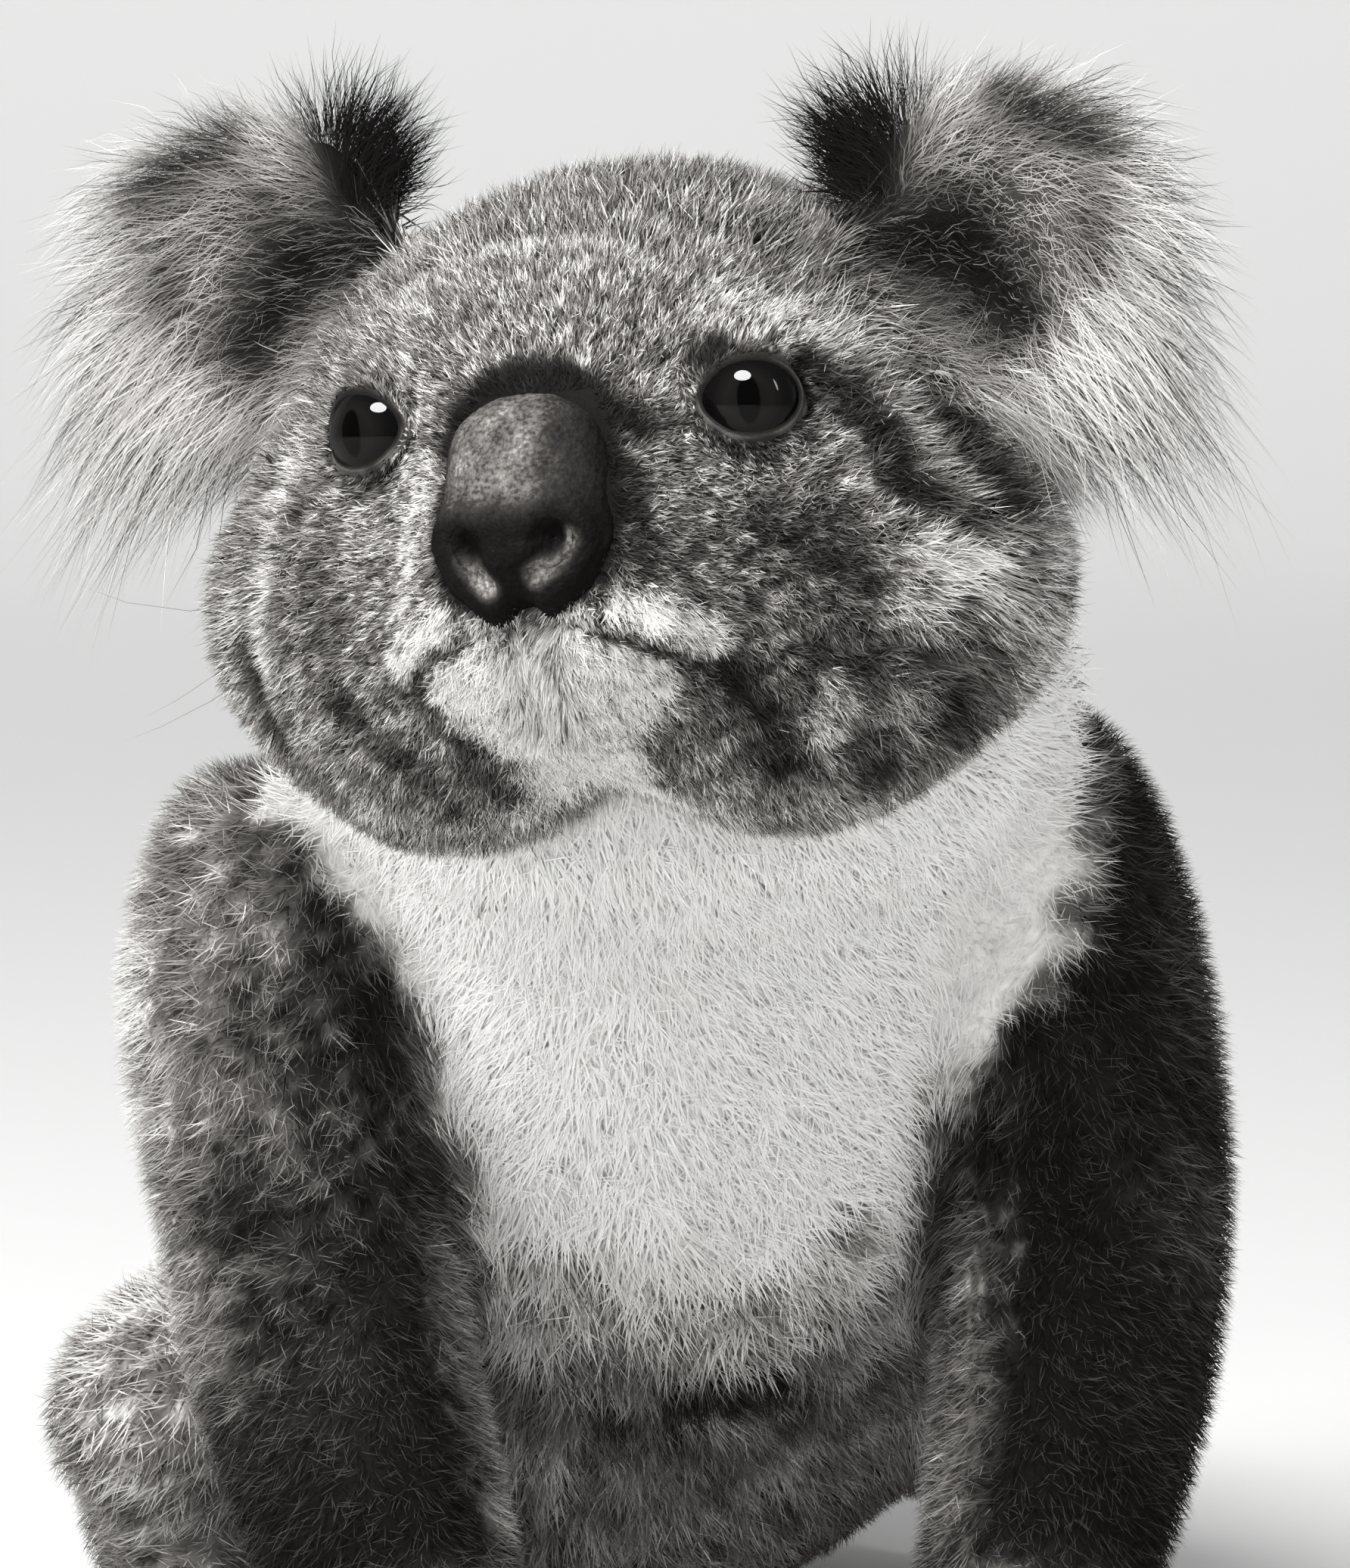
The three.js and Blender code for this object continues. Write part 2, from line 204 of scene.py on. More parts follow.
def voxelled(mesh, size):
    """The mesh rebuilt from small cubes, which closes its gaps and evens out its faces."""
    rough = show(bpy.data.objects.new(mesh.name, mesh))
    remesh = rough.modifiers.new("voxels", "REMESH")
    remesh.mode = "VOXEL"
    remesh.voxel_size = size
    made = bpy.data.meshes.new_from_object(rough.evaluated_get(bpy.context.evaluated_depsgraph_get()))
    bpy.data.objects.remove(rough)
    return made


form = bmesh.new()
form.from_mesh(voxelled(shell_mesh, VOXEL))
top = max(form.verts, key=lambda vert: vert.co.z)
outer, reached = {top}, [top]
while reached:
    for edge in reached.pop().link_edges:
        for vert in edge.verts:
            if vert not in outer:
                outer.add(vert)
                reached.append(vert)
bmesh.ops.delete(form, geom=[vert for vert in form.verts if vert not in outer], context="VERTS")
print("shell vertices", len(form.verts))

# %% [markdown]
# ## Fields on the skin
# Each point of the skin needs to know which part of the body it is on. The nearest solid says
# so, and the answers are then spread over the mesh, so that depth, lie and colour change
# gradually where the parts meet.

# %% Arrays of a mesh, and spreading values over it


def arrays(mesh):
    points = np.empty(len(mesh.vertices) * 3, np.float32)
    mesh.vertices.foreach_get("co", points)
    mesh.calc_loop_triangles()
    corners = np.empty(len(mesh.loop_triangles) * 3, np.int32)
    mesh.loop_triangles.foreach_get("vertices", corners)
    edges = np.empty(len(mesh.edges) * 2, np.int32)
    mesh.edges.foreach_get("vertices", edges)
    return points.reshape(-1, 3).astype(float), corners.reshape(-1, 3), edges.reshape(-1, 2)


def facing(points, triangles):
    a, b, c = (points[triangles[:, i]] for i in range(3))
    normal = np.cross(b - a, c - a)
    total = np.zeros_like(points)
    for axis in range(3):
        for corner in range(3):
            total[:, axis] += np.bincount(triangles[:, corner], normal[:, axis], len(points))
    return unit(total)


def spread(values, edges, rounds):
    """Each round moves every value half way to the mean of its neighbours."""
    values = np.array(values, float)
    flat = values.reshape(len(values), -1)
    here = np.concatenate([edges[:, 0], edges[:, 1]])
    there = np.concatenate([edges[:, 1], edges[:, 0]])
    count = np.maximum(np.bincount(here, minlength=len(values)), 1)
    for _ in range(rounds):
        for column in range(flat.shape[1]):
            mean = np.bincount(here, flat[there, column], len(values)) / count
            flat[:, column] += (mean - flat[:, column]) * 0.5
    return flat.reshape(values.shape)


smooth_mesh = mesh_of(form, "smooth_shell")
points, triangles, edges = arrays(smooth_mesh)
points = spread(points, edges, 7)
print("smoothed", len(points))

# %% Which part of the body each point is on
corners, faces, owner = [], [], []
for name in flesh:
    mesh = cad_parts[name].data
    mesh.calc_loop_triangles()
    base = len(corners)
    corners += [vert.co[:] for vert in mesh.vertices]
    faces += [tuple(base + i for i in tri.vertices) for tri in mesh.loop_triangles]
    owner += [name] * len(mesh.loop_triangles)
solid_tree = BVHTree.FromPolygons(corners, faces)
PARTS = ["head", "nose", "eye", "neck", "trunk", "upper_arm", "forearm", "hand", "thigh", "shank", "foot"]


def part_of(name):
    return next(i for i, part in enumerate(PARTS) if name.startswith(part))


part = np.array([part_of(owner[solid_tree.find_nearest(Vector(p))[2]]) for p in points])
share = spread(np.eye(len(PARTS))[part], edges, 6)
head = to_head(points)
print({name: int((part == i).sum()) for i, name in enumerate(PARTS)})

# %% Which points are on the ears, and a softer fold between neck and trunk
side = np.sign(head[:, 0])
lift = np.where(side > 0, EAR_LIFT["left"], EAR_LIFT["right"])
middle = EAR_FLAP * np.stack([side, side**2, side**2], 1)
flap = (head - middle - lift[:, None] * [0, 0, 1]) / (EAR_SIZE + 2)
on_ear = spread(ramp(-length_of(flap * [1, 0.45, 1]), -1.25, -1.12), edges, 2)
on_ear *= ramp(np.abs(head[:, 0]), 46, 54)
blended = dict(zip(PARTS, spread(share, edges, 40).T))
throat_fold = ramp(4 * blended["neck"] * blended["trunk"], 0.1, 0.6) * (1 - on_ear)
points += (spread(points, edges, 80) - points) * throat_fold[:, None]
print("ear points", int((on_ear > 0.5).sum()), "fold points", int((throat_fold > 0.5).sum()))

# %% [markdown]
# ## How deep the coat is
# The skin lies inside the solids by the depth of the coat: hardly at all on the muzzle, and
# most on the back. Under the bare nose pad it lies deeper, so that only the pad shows there.
# Near the floor the coat is pressed flat, and the body rests on it.

# %% Sink the skin by the coat's depth
DEPTH = {  # in mm
    "head": 3, "nose": 2.4, "eye": 0, "neck": 7, "trunk": 7, "upper_arm": 5, "forearm": 4.5,
    "hand": 2.6, "thigh": 5.5, "shank": 4.5, "foot": 2.4,
}


def nose_gap(head):
    """Distance in mm outside the nose pad, seen along the muzzle."""
    wide = np.interp(head[:, 2], [-27, -20, -8, 4, 12, 18, 24], [9, 16, 18.5, 16.8, 15.2, 11.5, 3])
    return np.abs(head[:, 0] + 1) - wide


def from_muzzle(head):
    """Distance in mm from the middle of the muzzle."""
    return length_of(head - [0, -66, -12])


def coat_depth(head, share, on_ear, height):
    depth = share @ np.array([DEPTH[name] for name in PARTS], float)
    on_head_depth = 1.3 + 3.8 * ramp(from_muzzle(head), 22, 120) + 1.6 * ramp(np.abs(head[:, 0]), 55, 90)
    depth += share[:, 0] * (on_head_depth - DEPTH["head"])
    depth += 4 * ramp(-nose_gap(head), 2, 6) * ramp(-head[:, 1], 50, 56) * ramp(-head[:, 2], -14, -10)
    depth *= 1 - on_ear
    return depth * (0.2 + 0.8 * ramp(height, 0.0, 0.03))


def store(data, key, values):
    """Writes one number, or one row of them, for each element of a mesh."""
    data.foreach_set(key, values.astype(np.float32).ravel())


depth = coat_depth(head, share, on_ear, points[:, 2])
normal = facing(points, triangles)
points -= normal * depth[:, None] * MM
store(smooth_mesh.vertices, "co", points)
print("depth mm", depth.min().round(1), depth.max().round(1))

# %% [markdown]
# ## Finer mesh where the face needs it
# Lids, lips and the creases of the cheeks are smaller than the voxels, so the faces round the
# eyes, nose and mouth are cut finer, and three times over along the rims of the lids.

# %% Cut the face finer
form = bmesh.new()
form.from_mesh(smooth_mesh)


def cut_finer(form, near_eye, with_front=False):
    """Halves each edge that is so near an eye, in mm, or anywhere on the front of the face."""
    chosen = []
    for edge in form.edges:
        place = to_head(((edge.verts[0].co + edge.verts[1].co) / 2)[:])
        from_eye = min(np.linalg.norm(place - EYE * (sign, 1, 1)) for sign in (-1, 1))
        front = place[1] < -28 and abs(place[0]) < 72 and place[2] > -62
        if from_eye < near_eye or (with_front and front):
            chosen.append(edge)
    bmesh.ops.subdivide_edges(form, edges=chosen, cuts=1, use_grid_fill=True)


cut_finer(form, 24, with_front=True)
cut_finer(form, 17)
cut_finer(form, 13.4)
bmesh.ops.triangulate(form, faces=[face for face in form.faces if len(face.verts) > 4])
skin_mesh = mesh_of(form, "koala_skin")
points, triangles, edges = arrays(skin_mesh)
head = to_head(points)
print("skin triangles", len(triangles))

# %% Carry the fields over to the finer mesh
nearest = KDTree(len(smooth_mesh.vertices))
for vert in smooth_mesh.vertices:
    nearest.insert(vert.co, vert.index)
nearest.balance()
source = np.array([nearest.find(Vector(p))[1] for p in points])
share = spread(share[source], edges, 2)
on_ear = spread(on_ear[source], edges, 2)
depth = spread(depth[source], edges, 2)
on_part = dict(zip(PARTS, share.T))
head_share = on_part["head"] + on_part["nose"] + on_part["eye"]
on_face = ramp(head[:, 1], -18, -30) * ramp(head_share, 0.4, 0.9)
points = points + (spread(points, edges, 6) - points) * on_face[:, None]
head = to_head(points)
print("fields on", len(points), "points")

# %% [markdown]
# ## Lids
# A koala's eye is a ball about 21 mm across, set so deep that only its front shows between two
# bare, dark lids. The skin near the eye is moved in or out along lines from the middle of the
# ball: behind the ball's surface inside the opening, just proud of it along the rims, and into
# soft creases round them.

# %% Measure places round each eye
BALL = 10.8  # radius of the eyeball in mm
AHEAD = unit(np.array([0.36, -0.93, 0.02]))
OUTER_REACH = 60.0  # degrees from the line of sight to the outer corner of the lids
INNER_REACH = {1: 60.0, -1: 57.0}
SQUINT = {1: 0.25, -1: 0.12}  # how much flatter the opening is at its inner end


def eye_frame(sign):
    ahead = AHEAD * (sign, 1, 1)
    across = unit(np.cross(ahead, [0, 0, 1.0])) * -sign
    above = np.cross(across, ahead) * sign
    return ahead, across, above * np.sign(above[2])


def eye_measure(head, sign):
    """Degrees past the rim of the lids, mm and line from the ball's middle, degrees aside and up."""
    ahead, across, above = eye_frame(sign)
    away = head - EYE * (sign, 1, 1)
    far = length_of(away)
    line = away / far[:, None]
    aside = np.degrees(np.arctan2(line @ across, line @ ahead))
    upward = np.degrees(np.arctan2(line @ above, np.hypot(line @ across, line @ ahead)))
    inner = INNER_REACH[sign]
    tall = np.where(upward > 0, 41.0, 40.0) * (1 - SQUINT[sign] * ramp(-aside, 25, inner + 2))
    out = np.hypot(aside / np.where(aside > 0, OUTER_REACH, inner), upward / tall)
    past = np.hypot(aside, upward) * (1 - 1 / np.maximum(out, 1e-6))
    return past, far, line, aside, upward


print("line of sight", AHEAD.round(2))

# %% Shape the lids
LID_PAST = [-60, -7, -2, 0.5, 4, 8, 10.5, 15, 20, 30]  # degrees past the rim
LID_FAR = [9.0, 9.2, 10.5, 11.05, 11.3, 11.4, 11.3, 11.5, 11.1, 11.0]  # mm from the ball's middle
LOWER_CREASES = [(25, 0.45), (40, 0.5)]  # degrees past the rim, and depth in mm
lid, rim, slit_edge, upper_fold, lower_fold = np.zeros((5, len(points)))
for sign in SIDES.values():
    past, far, line, aside, upward = eye_measure(head, sign)
    near = (far < 24) * (line @ eye_frame(sign)[0] > -0.1)
    wanted = np.interp(past, LID_PAST, LID_FAR)
    flat = 1 - ramp(far - wanted, 0.3, 2.0)
    hold = near * (1 - ramp(past, 3 + 15 * flat, 12 + 26 * flat))
    low_lid = ramp(-upward, -6, 8)
    moved = far + (wanted - far) * hold
    for fold, deep in LOWER_CREASES:
        moved -= near * deep * low_lid * bell(past - fold, 4)
    head = EYE * (sign, 1, 1) + line * moved[:, None]
    ends = np.where(aside < 0, 3, 5)
    lid = np.maximum(lid, near * (1 - ramp(past, ends + 2 * low_lid, ends + 5 + 3 * low_lid)))
    rim = np.maximum(rim, near * np.maximum(low_lid, ramp(aside, 20, 50)) * bell(past - 3, 1.6))
    slit_edge = np.maximum(slit_edge, near * bell(past + 0.5, 3.0))
    upper_fold = np.maximum(upper_fold, near * (1 - low_lid) * bell(past - 13, 2.2))
    lower_fold = np.maximum(lower_fold, near * low_lid * bell(past - 17, 3))
print("lid points", int((lid > 0.5).sum()))

# %% [markdown]
# ## Mouth and creases
# The mouth is one shallow line that starts under the nose and drops to its corners beneath a
# fringed upper lip. The brow and cheeks carry soft folds. Each is a path on the face, and the
# skin near the path is pushed in, with a low swelling on both sides.

# %% Press creases into the face


def from_path(head, path):
    """Shortest distance in mm from each point to a line of straight pieces."""
    path = np.asarray(path, float)
    best = np.full(len(head), 1e9)
    for start, end in zip(path[:-1], path[1:]):
        piece = end - start
        along = np.clip((head - start) @ piece / (piece @ piece), 0, 1)
        best = np.minimum(best, length_of(head - start - along[:, None] * piece))
    return best


CREASES = [  # depth, half width, path in head millimetres
    (2.0, 3.0, [(49, -36, 18), (55, -33, 12), (60, -32, 6), (62, -36, -3), (71, -35, -9), (78, -30, -12)]),
    (3.0, 4.5, [(66, -20, 24), (72, -20, 12), (78, -22, 2), (82, -20, -6)]),
    (1.3, 2.4, [(46, -45, -34), (57, -41, -38), (66, -37, -36), (75, -28, -42)]),
    (1.2, 2.4, [(50, -42, -58), (60, -33, -52), (70, -26, -50)]),
    (1.2, 2.2, [(-50, -38, 4), (-57, -36, 3), (-57, -40, -5), (-60, -41, -16)]),
    (1.4, 2.6, [(-68, -30, -8), (-71, -32, -18), (-70, -34, -30), (-66, -31, -47)]),
    (0.9, 2.2, [(-48, -44, -36), (-42, -45, -46), (-30, -44, -55), (-26, -36, -64)]),
    (0.8, 1.8, [(-48, -38, 4), (-41, -41, 1), (-33, -44, 5)]),
    (1.1, 2.6, [(-40, -30, 40), (-26, -29, 48), (-12, -30, 51), (9, -32, 49), (26, -37, 41)]),
    (1.0, 2.4, [(-36, -20, 50), (-16, -20, 57), (6, -22, 56), (26, -27, 50), (40, -26, 42)]),
    (0.9, 2.4, [(-30, -10, 58), (-10, -10, 62), (17, -9, 62), (34, -14, 56)]),
    (0.9, 2.2, [(24, -50, 22), (28, -48, 16), (27, -50, 8)]),
    (0.9, 2.2, [(-24, -50, 22), (-28, -48, 16), (-26, -52, 4), (-26, -56, -10)]),
]
normal = facing(points, triangles) @ HEAD_TURN
coat_top = head + normal * depth[:, None]
for deep, wide, path in CREASES:
    gap = from_path(coat_top, path)
    profile = bell(gap, wide) - 0.4 * bell(gap - 2.2 * wide, wide)
    head -= normal * (deep * profile * (1 - lid))[:, None]
print("creases", len(CREASES))

# %% Part the lips
MOUTH_HALF = 27  # mm from the middle to a corner


def over_lip(head):
    """Height in mm above the line of the mouth, which drops towards its corners."""
    return head[:, 2] - (-27 - 9.5 * (np.abs(head[:, 0]) / MOUTH_HALF) ** 1.6)


beside = np.abs(head[:, 0])
over = over_lip(head)
mouth = ramp(-head[:, 1], 44, 50) * (1 - ramp(beside, MOUTH_HALF, MOUTH_HALF + 5)) * (np.abs(over) < 12)
mouth *= 0.4 + 0.6 * ramp(beside, 4, 14)
inward = 1.6 * bell(over, 1.1) - 1.2 * bell(over - 3.2, 2.2)
inward += 0.7 * bell(over + 4, 3)
head -= normal * (inward * mouth * np.where(head[:, 0] > 0, 1, 0.6))[:, None]
lips = mouth * ramp(beside, 5, 14) * bell(over, 0.6) * np.where(head[:, 0] > 0, 0.8, 0.35)
points = from_head(head)
store(skin_mesh.vertices, "co", points)
normal = facing(points, triangles)
print("mouth points", int((lips > 0.5).sum()))

# %% [markdown]
# ## Markings
# Ash grey above, white on the chin, throat and chest, black behind and below the ears, pale
# fringes, and dark smudges by the cheeks. Some marks are painted light, not the coat's own
# colour: painted shade in the creases and folds, under the cheeks and belly, deep in the coat,
# in the ears' hollows and nostrils and on the side turned from the light, and painted
# highlights beside the creases and along lit edges. Each mark is a soft spot or band on the
# body, and gives a lightness from 0, black, to 1, white. The marks are laid one over another
# like thin coats of paint, over a first layer with one tone for each part of the body. Skin
# and tufts read the same values.

# %% First layer: one tone for each part
PALE = {
    "head": 0.5, "nose": 0.02, "eye": 0.2, "neck": 0.98, "trunk": 0.46, "upper_arm": 0.38, "forearm": 0.26,
    "hand": 0.34, "thigh": 0.6, "shank": 0.55, "foot": 0.5,
}
DARKEST = 0.03
pale = share @ np.array([PALE[name] for name in PARTS])
print("first layer", pale.min().round(2), pale.max().round(2))

# %% Painting, and soft randomness for the edges of marks


def paint(mask, tone):
    """Lays a tone over the marks so far, as strongly as the mask says."""
    pale[:] += (tone - pale) * np.clip(mask, 0, 1)


def waves(places, length, count=7, seed=3):
    """A soft random number near each place, between about -1 and 1, that changes over a length."""
    draw = np.random.default_rng(seed)
    heading = unit(draw.normal(size=(count, 3))) * (2 * math.pi / length)
    heading *= draw.uniform(0.7, 1.5, (count, 1))
    return np.sin(places @ heading.T + draw.uniform(0, 6.3, count)).sum(1) / math.sqrt(count)


# %% Broad tones of the head, with painted shade on its side turned from the light, a painted rim light along its lower edge, and painted shade and highlights at its creases
on_head = np.clip(head_share, 0, 1)
coat_top = head + (normal @ HEAD_TURN) * depth[:, None]
x, y, z = head.T
paint(on_head * ramp(-z, 14, 50) * 0.85, 0.46)
# painted shade: the lower half of the head's left side, which is turned from the light, is darker
paint(on_head * ramp(x, -6, 30) * ramp(-z, 0, 20) * 0.35, 0.3)
paint(on_head * ramp(y, 0, 60), 0.45)
# painted rim light: the lower edge of the head is lighter, where light catches its fluff
paint(on_head * ramp(-z, 52, 64) * ramp(-y, -30, 10) * 0.5, 0.66)
for deep, wide, path in CREASES:
    gap = from_path(coat_top, path)
    # painted shade in each crease
    paint(on_head * 0.3 * deep * bell(gap, 1.3), 0.2)
    # painted highlight on the ridge beside each crease
    paint(on_head * 0.22 * deep * bell(gap - 3.2, 1.5), 0.85)
print("head so far", pale[on_head > 0.5].mean().round(2))

# %% Bands and smudges of the face, with painted shade along the creases, under the cheeks and beside the nose
STROKES = [  # lightness, strength, half width, path in head millimetres
    (0.64, 0.4, 9, [(-34, -37, 38), (-23, -30, 48), (-8, -29, 53), (12, -32, 49), (25, -35, 43)]),
    (0.36, 0.5, 5, [(-25, -12, 61), (-5, -7, 63), (13, 2, 64)]),
    (0.8, 0.7, 5.5, [(33, -41, 31), (46, -37, 30), (54, -30, 25)]),
    (0.64, 0.6, 5, [(60, -19, 27), (64, -27, 14), (70, -32, 1)]),
    (0.78, 0.8, 7, [(88, 3, -6), (90, -4, -15), (90, -8, -20), (87, -8, -34), (83, -6, -44), (75, -2, -52)]),
    # painted shade in the deep fold between the left eye and ear
    (0.02, 1.0, 4.5, [(65, -13, 21), (72, -18, 12), (77, -21, 4), (82, -20, -4)]),
    # painted shade in the fold round the left eye
    (0.06, 1.0, 3.6, [
        (50, -37, 18), (56, -34, 12), (61, -33, 6), (64, -35, -3), (71, -34, -9), (77, -31, -12),
    ]),
    (0.62, 0.6, 5, [(36, -43, -2), (48, -39, 0), (57, -37, 1)]),
    (0.2, 0.75, 8, [(43, -45, -11), (51, -42, -15), (57, -42, -22)]),
    (0.88, 0.85, 7.5, [(71, -36, -17), (79, -30, -21), (84, -23, -28)]),
    (0.76, 0.7, 4.5, [(64, -39, -27), (74, -33, -31)]),
    # painted shade in the crease of the left cheek
    (0.18, 0.6, 5, [(46, -45, -34), (57, -41, -38), (66, -37, -37), (75, -28, -42)]),
    # painted shade under the cheek, in this row and the next
    (0.08, 0.8, 5.5, [(55, -35, -57), (56, -27, -61)]),
    (0.10, 0.7, 5.5, [(71, -26, -48), (73, -16, -52)]),
    (0.12, 0.8, 6, [(34, -51, -38), (36, -46, -45), (40, -42, -56)]),
    (0.70, 0.7, 4, [(47, -42, -51), (53, -42, -46)]),
    (0.70, 0.7, 4, [(62, -35, -47), (64, -29, -52)]),
    # painted shade beside the nose, on the side turned from the light
    (0.07, 0.75, 3.0, [(20, -57, 1), (22, -60, -8), (23, -63, -18)]),
    (0.07, 0.9, 2.8, [(31, -46, 21), (34, -44, 24)]),
    # painted shade at the top of the fold round the left eye
    (0.14, 0.8, 2.6, [(49, -36, 21), (53, -34, 16), (57, -32, 12)]),
    (0.8, 0.7, 6, [(-30, -46, 12), (-30, -47, 3), (-30, -50, -7), (-29, -54, -18)]),
    (0.80, 0.6, 4, [(-60, -31, 11), (-61, -36, -1)]),
    # painted shade in the fold by the right eye
    (0.22, 0.7, 2.6, [(-57, -37, 2), (-58, -40, -6)]),
    (0.36, 0.6, 5, [(-52, -42, -4), (-54, -42, -18), (-52, -44, -30)]),
    (0.90, 0.85, 2.6, [(-63, -39, -10), (-66, -39, -20), (-65, -38, -31)]),
    # painted shade in the crease of the right cheek
    (0.24, 0.65, 2.6, [(-71, -36, -24), (-70, -34, -38), (-66, -31, -47)]),
    # painted shade in the crease of the right jaw
    (0.20, 0.6, 3, [(-48, -44, -38), (-42, -45, -46), (-31, -44, -54), (-27, -37, -62)]),
    (0.18, 0.85, 4, [(-25, -57, -39), (-21, -50, -49), (-16, -38, -58)]),
    (0.85, 0.6, 4.5, [(-74, -34, -16), (-79, -27, -31), (-75, -23, -45)]),
    (0.0, 1.0, 2.6, [
        (-19, -51, 6), (-17, -50, 13), (-11, -49, 19), (-4, -49, 21), (4, -50, 19.5), (12, -51, 15),
        (19, -51, 8),
    ]),
]
for tone, strength, width, path in STROKES:
    gap = from_path(coat_top, path) / width
    paint(on_head * strength * np.exp(-(gap**3)), tone)
print("strokes", len(STROKES))

# %% Muzzle, lip fringes and chin


def from_fringe(head):
    """Distance in mm from the two fringes of white hair that hang from the upper lip."""
    left = from_path(head, [(19, -65, -25), (27, -60, -28), (34, -54, -32)])
    right = from_path(head, [(-19, -65, -25), (-26, -61, -28), (-32, -55, -32)])
    return np.minimum(left, right)


front = ramp(-y, 20, 40) * on_head
beside = np.abs(x)
under_pad = front * (1 - ramp(nose_gap(head), -1, 1.2)) * ramp(z, -27, -24)
paint(under_pad * ramp(-y, 44, 50) * ramp(-z, -25, -20), 0.05)
paint(on_head * (1 - ramp(from_fringe(head), 1.5, 6.5)) * ramp(over_lip(head), -3, 0), 0.84)
paint(on_head * (1 - ramp(beside, 10, 16)) * ramp(-y, 55, 60) * ramp(-z, 22, 25), 0.74)
chin_edge = np.interp(-z, [30, 38, 45, 51, 58, 70], [27, 24, 17, 13, 14, 22])
chin_edge = chin_edge + 1.8 * waves(head, 6, seed=8)
paint(on_head * ramp(-over_lip(head), 0, 2) * ramp(chin_edge - beside, -3, 3) * ramp(-y, 18, 30), 0.83)
print("chin points", int((pale[on_head > 0.5] > 0.8).sum()))

# %% Nape and belly, in metres
across_body, along_body, height_up = points.T
back = along_body + 0.006 * waves(points, 0.03, seed=12)
paint(on_part["neck"] * ramp(back, -0.056, -0.024), 0.42)
throat = on_part["trunk"] * ramp(-normal[:, 1], 0.0, 0.35) * ramp(-along_body, -0.02, 0.02)
low = height_up + 0.006 * waves(points, 0.03, seed=9)
paint(throat * ramp(low, 0.084, 0.112), 0.98)
paint(throat * (1 - ramp(low, 0.086, 0.106)), 0.69)
# painted shade: black under the belly's lower curve, where it turns under towards the floor
paint(throat * (1 - ramp(low, 0.058, 0.088)), 0.03)
print("body so far", pale[on_head < 0.5].mean().round(2))

# %% Arms: dark inside, pale along their outer edge, with painted shade on the arm turned from the light and a painted rim light on the other
arm = on_part["upper_arm"] + on_part["forearm"]
on_left = across_body > 0
wide = np.abs(across_body) + 0.012 * waves(points, 0.05, seed=10)
# The left arm is turned from the light: its dark inside reaches wider and its front is darker, as painted
# shade. The pale outer edge is painted strongly only on the right arm, as painted rim light.
band = np.where(on_left, ramp(wide, 0.09, 0.15), ramp(wide, 0.055, 0.105))
paint(arm * (1 - band) * ramp(-along_body, -0.03, 0.02) * 0.9, 0.05)
paint(arm * on_left * ramp(-normal[:, 1], 0, 0.5) * 0.8, 0.05)
paint(arm * ramp(wide, 0.085, 0.12) * np.where(on_left, 0.1, 0.9), 0.78)
print("arms", pale[arm > 0.5].mean().round(2))

# %% White bib, and the lower limbs
BIB_HEIGHTS = [0.10, 0.147, 0.165, 0.188, 0.21]
BIB_RIGHT = [0.045, 0.055, 0.062, 0.078, 0.089]  # how far the bib reaches at those heights
BIB_LEFT = [0.056, 0.068, 0.079, 0.086, 0.088]
right_edge = np.interp(height_up, BIB_HEIGHTS, BIB_RIGHT)
left_edge = np.interp(height_up, BIB_HEIGHTS, BIB_LEFT)
bib_edge = np.where(across_body < 0, right_edge, left_edge)
bib_edge += 0.004 * waves(points, 0.02, seed=13) - np.abs(across_body)
bib = ramp(bib_edge, -0.006, 0.006) * ramp(-normal[:, 1], 0, 0.4) * ramp(height_up, 0.12, 0.15)
paint(bib * (1 - on_head), 0.97)
inner_side = ramp(-normal[:, 0] * np.sign(across_body), 0.55, 0.9)
paint(arm * (1 - ramp(height_up, 0.05, 0.11)) * 0.88, 0.03)
# painted light: a pale strip low on the inner side of each arm, where its fur edge is lit
paint(arm * inner_side * ramp(-height_up, -0.13, -0.1) * ramp(height_up, 0.02, 0.05) * 0.8, 0.62)
paint(on_part["thigh"] * 0.8 * ramp(height_up, 0.05, 0.1), 0.91)
print("bib points", int((bib > 0.5).sum()))

# %% Ears: pale, with painted shade in the hollow and a black upper inner corner
RIGHT_EAR = 0.88  # the right ear is turned further from the light


def stroke(places, start, end, width):
    """A soft band between two places on the ear's flap."""
    path = np.array([start, end], float)
    flat = np.stack([places[:, 0], places[:, 2], places[:, 0] * 0], 1)
    return bell(from_path(flat, np.c_[path, [0, 0]]), width)


def ear_tone(flap):
    """Pale grey with painted shade in the hollow and a dark base, black at the upper inner corner, pale
    fringes.
    """
    x, y, z = flap.T
    tone = 0.62 + 0.24 * ramp(x, 0.1, 1.0) + 0.1 * ramp(z, 0.6, 1.1)
    tone += (0.86 - tone) * stroke(flap, (0.5, -0.6), (1.7, -1.1), 0.45)
    # painted shade in the ear's hollow, high on the outer part of the flap
    tone += (0.08 - tone) * 0.95 * stroke(flap, (0.25, 1.02), (0.9, 0.64), 0.19) * ramp(x, 0.1, 0.3)
    tone += (0.4 - tone) * 0.75 * stroke(flap, (0.86, 0.3), (0.82, -0.1), 0.2)
    tone += (0.05 - tone) * 0.97 * stroke(flap, (-0.77, 0.18), (-0.13, 0.12), 0.27)
    tone += (0.05 - tone) * 0.97 * stroke(flap, (-0.13, 0.12), (0.26, -0.37), 0.24)
    tone += (0.02 - tone) * black_corner(x, z)
    return np.where(y > 0.9, 0.45, tone)


def black_corner(x, z):
    return ramp(-(x + 0.3 + 0.3 * (1 - z)), -0.08, 0.1) * ramp(z, 0.25, 0.45)


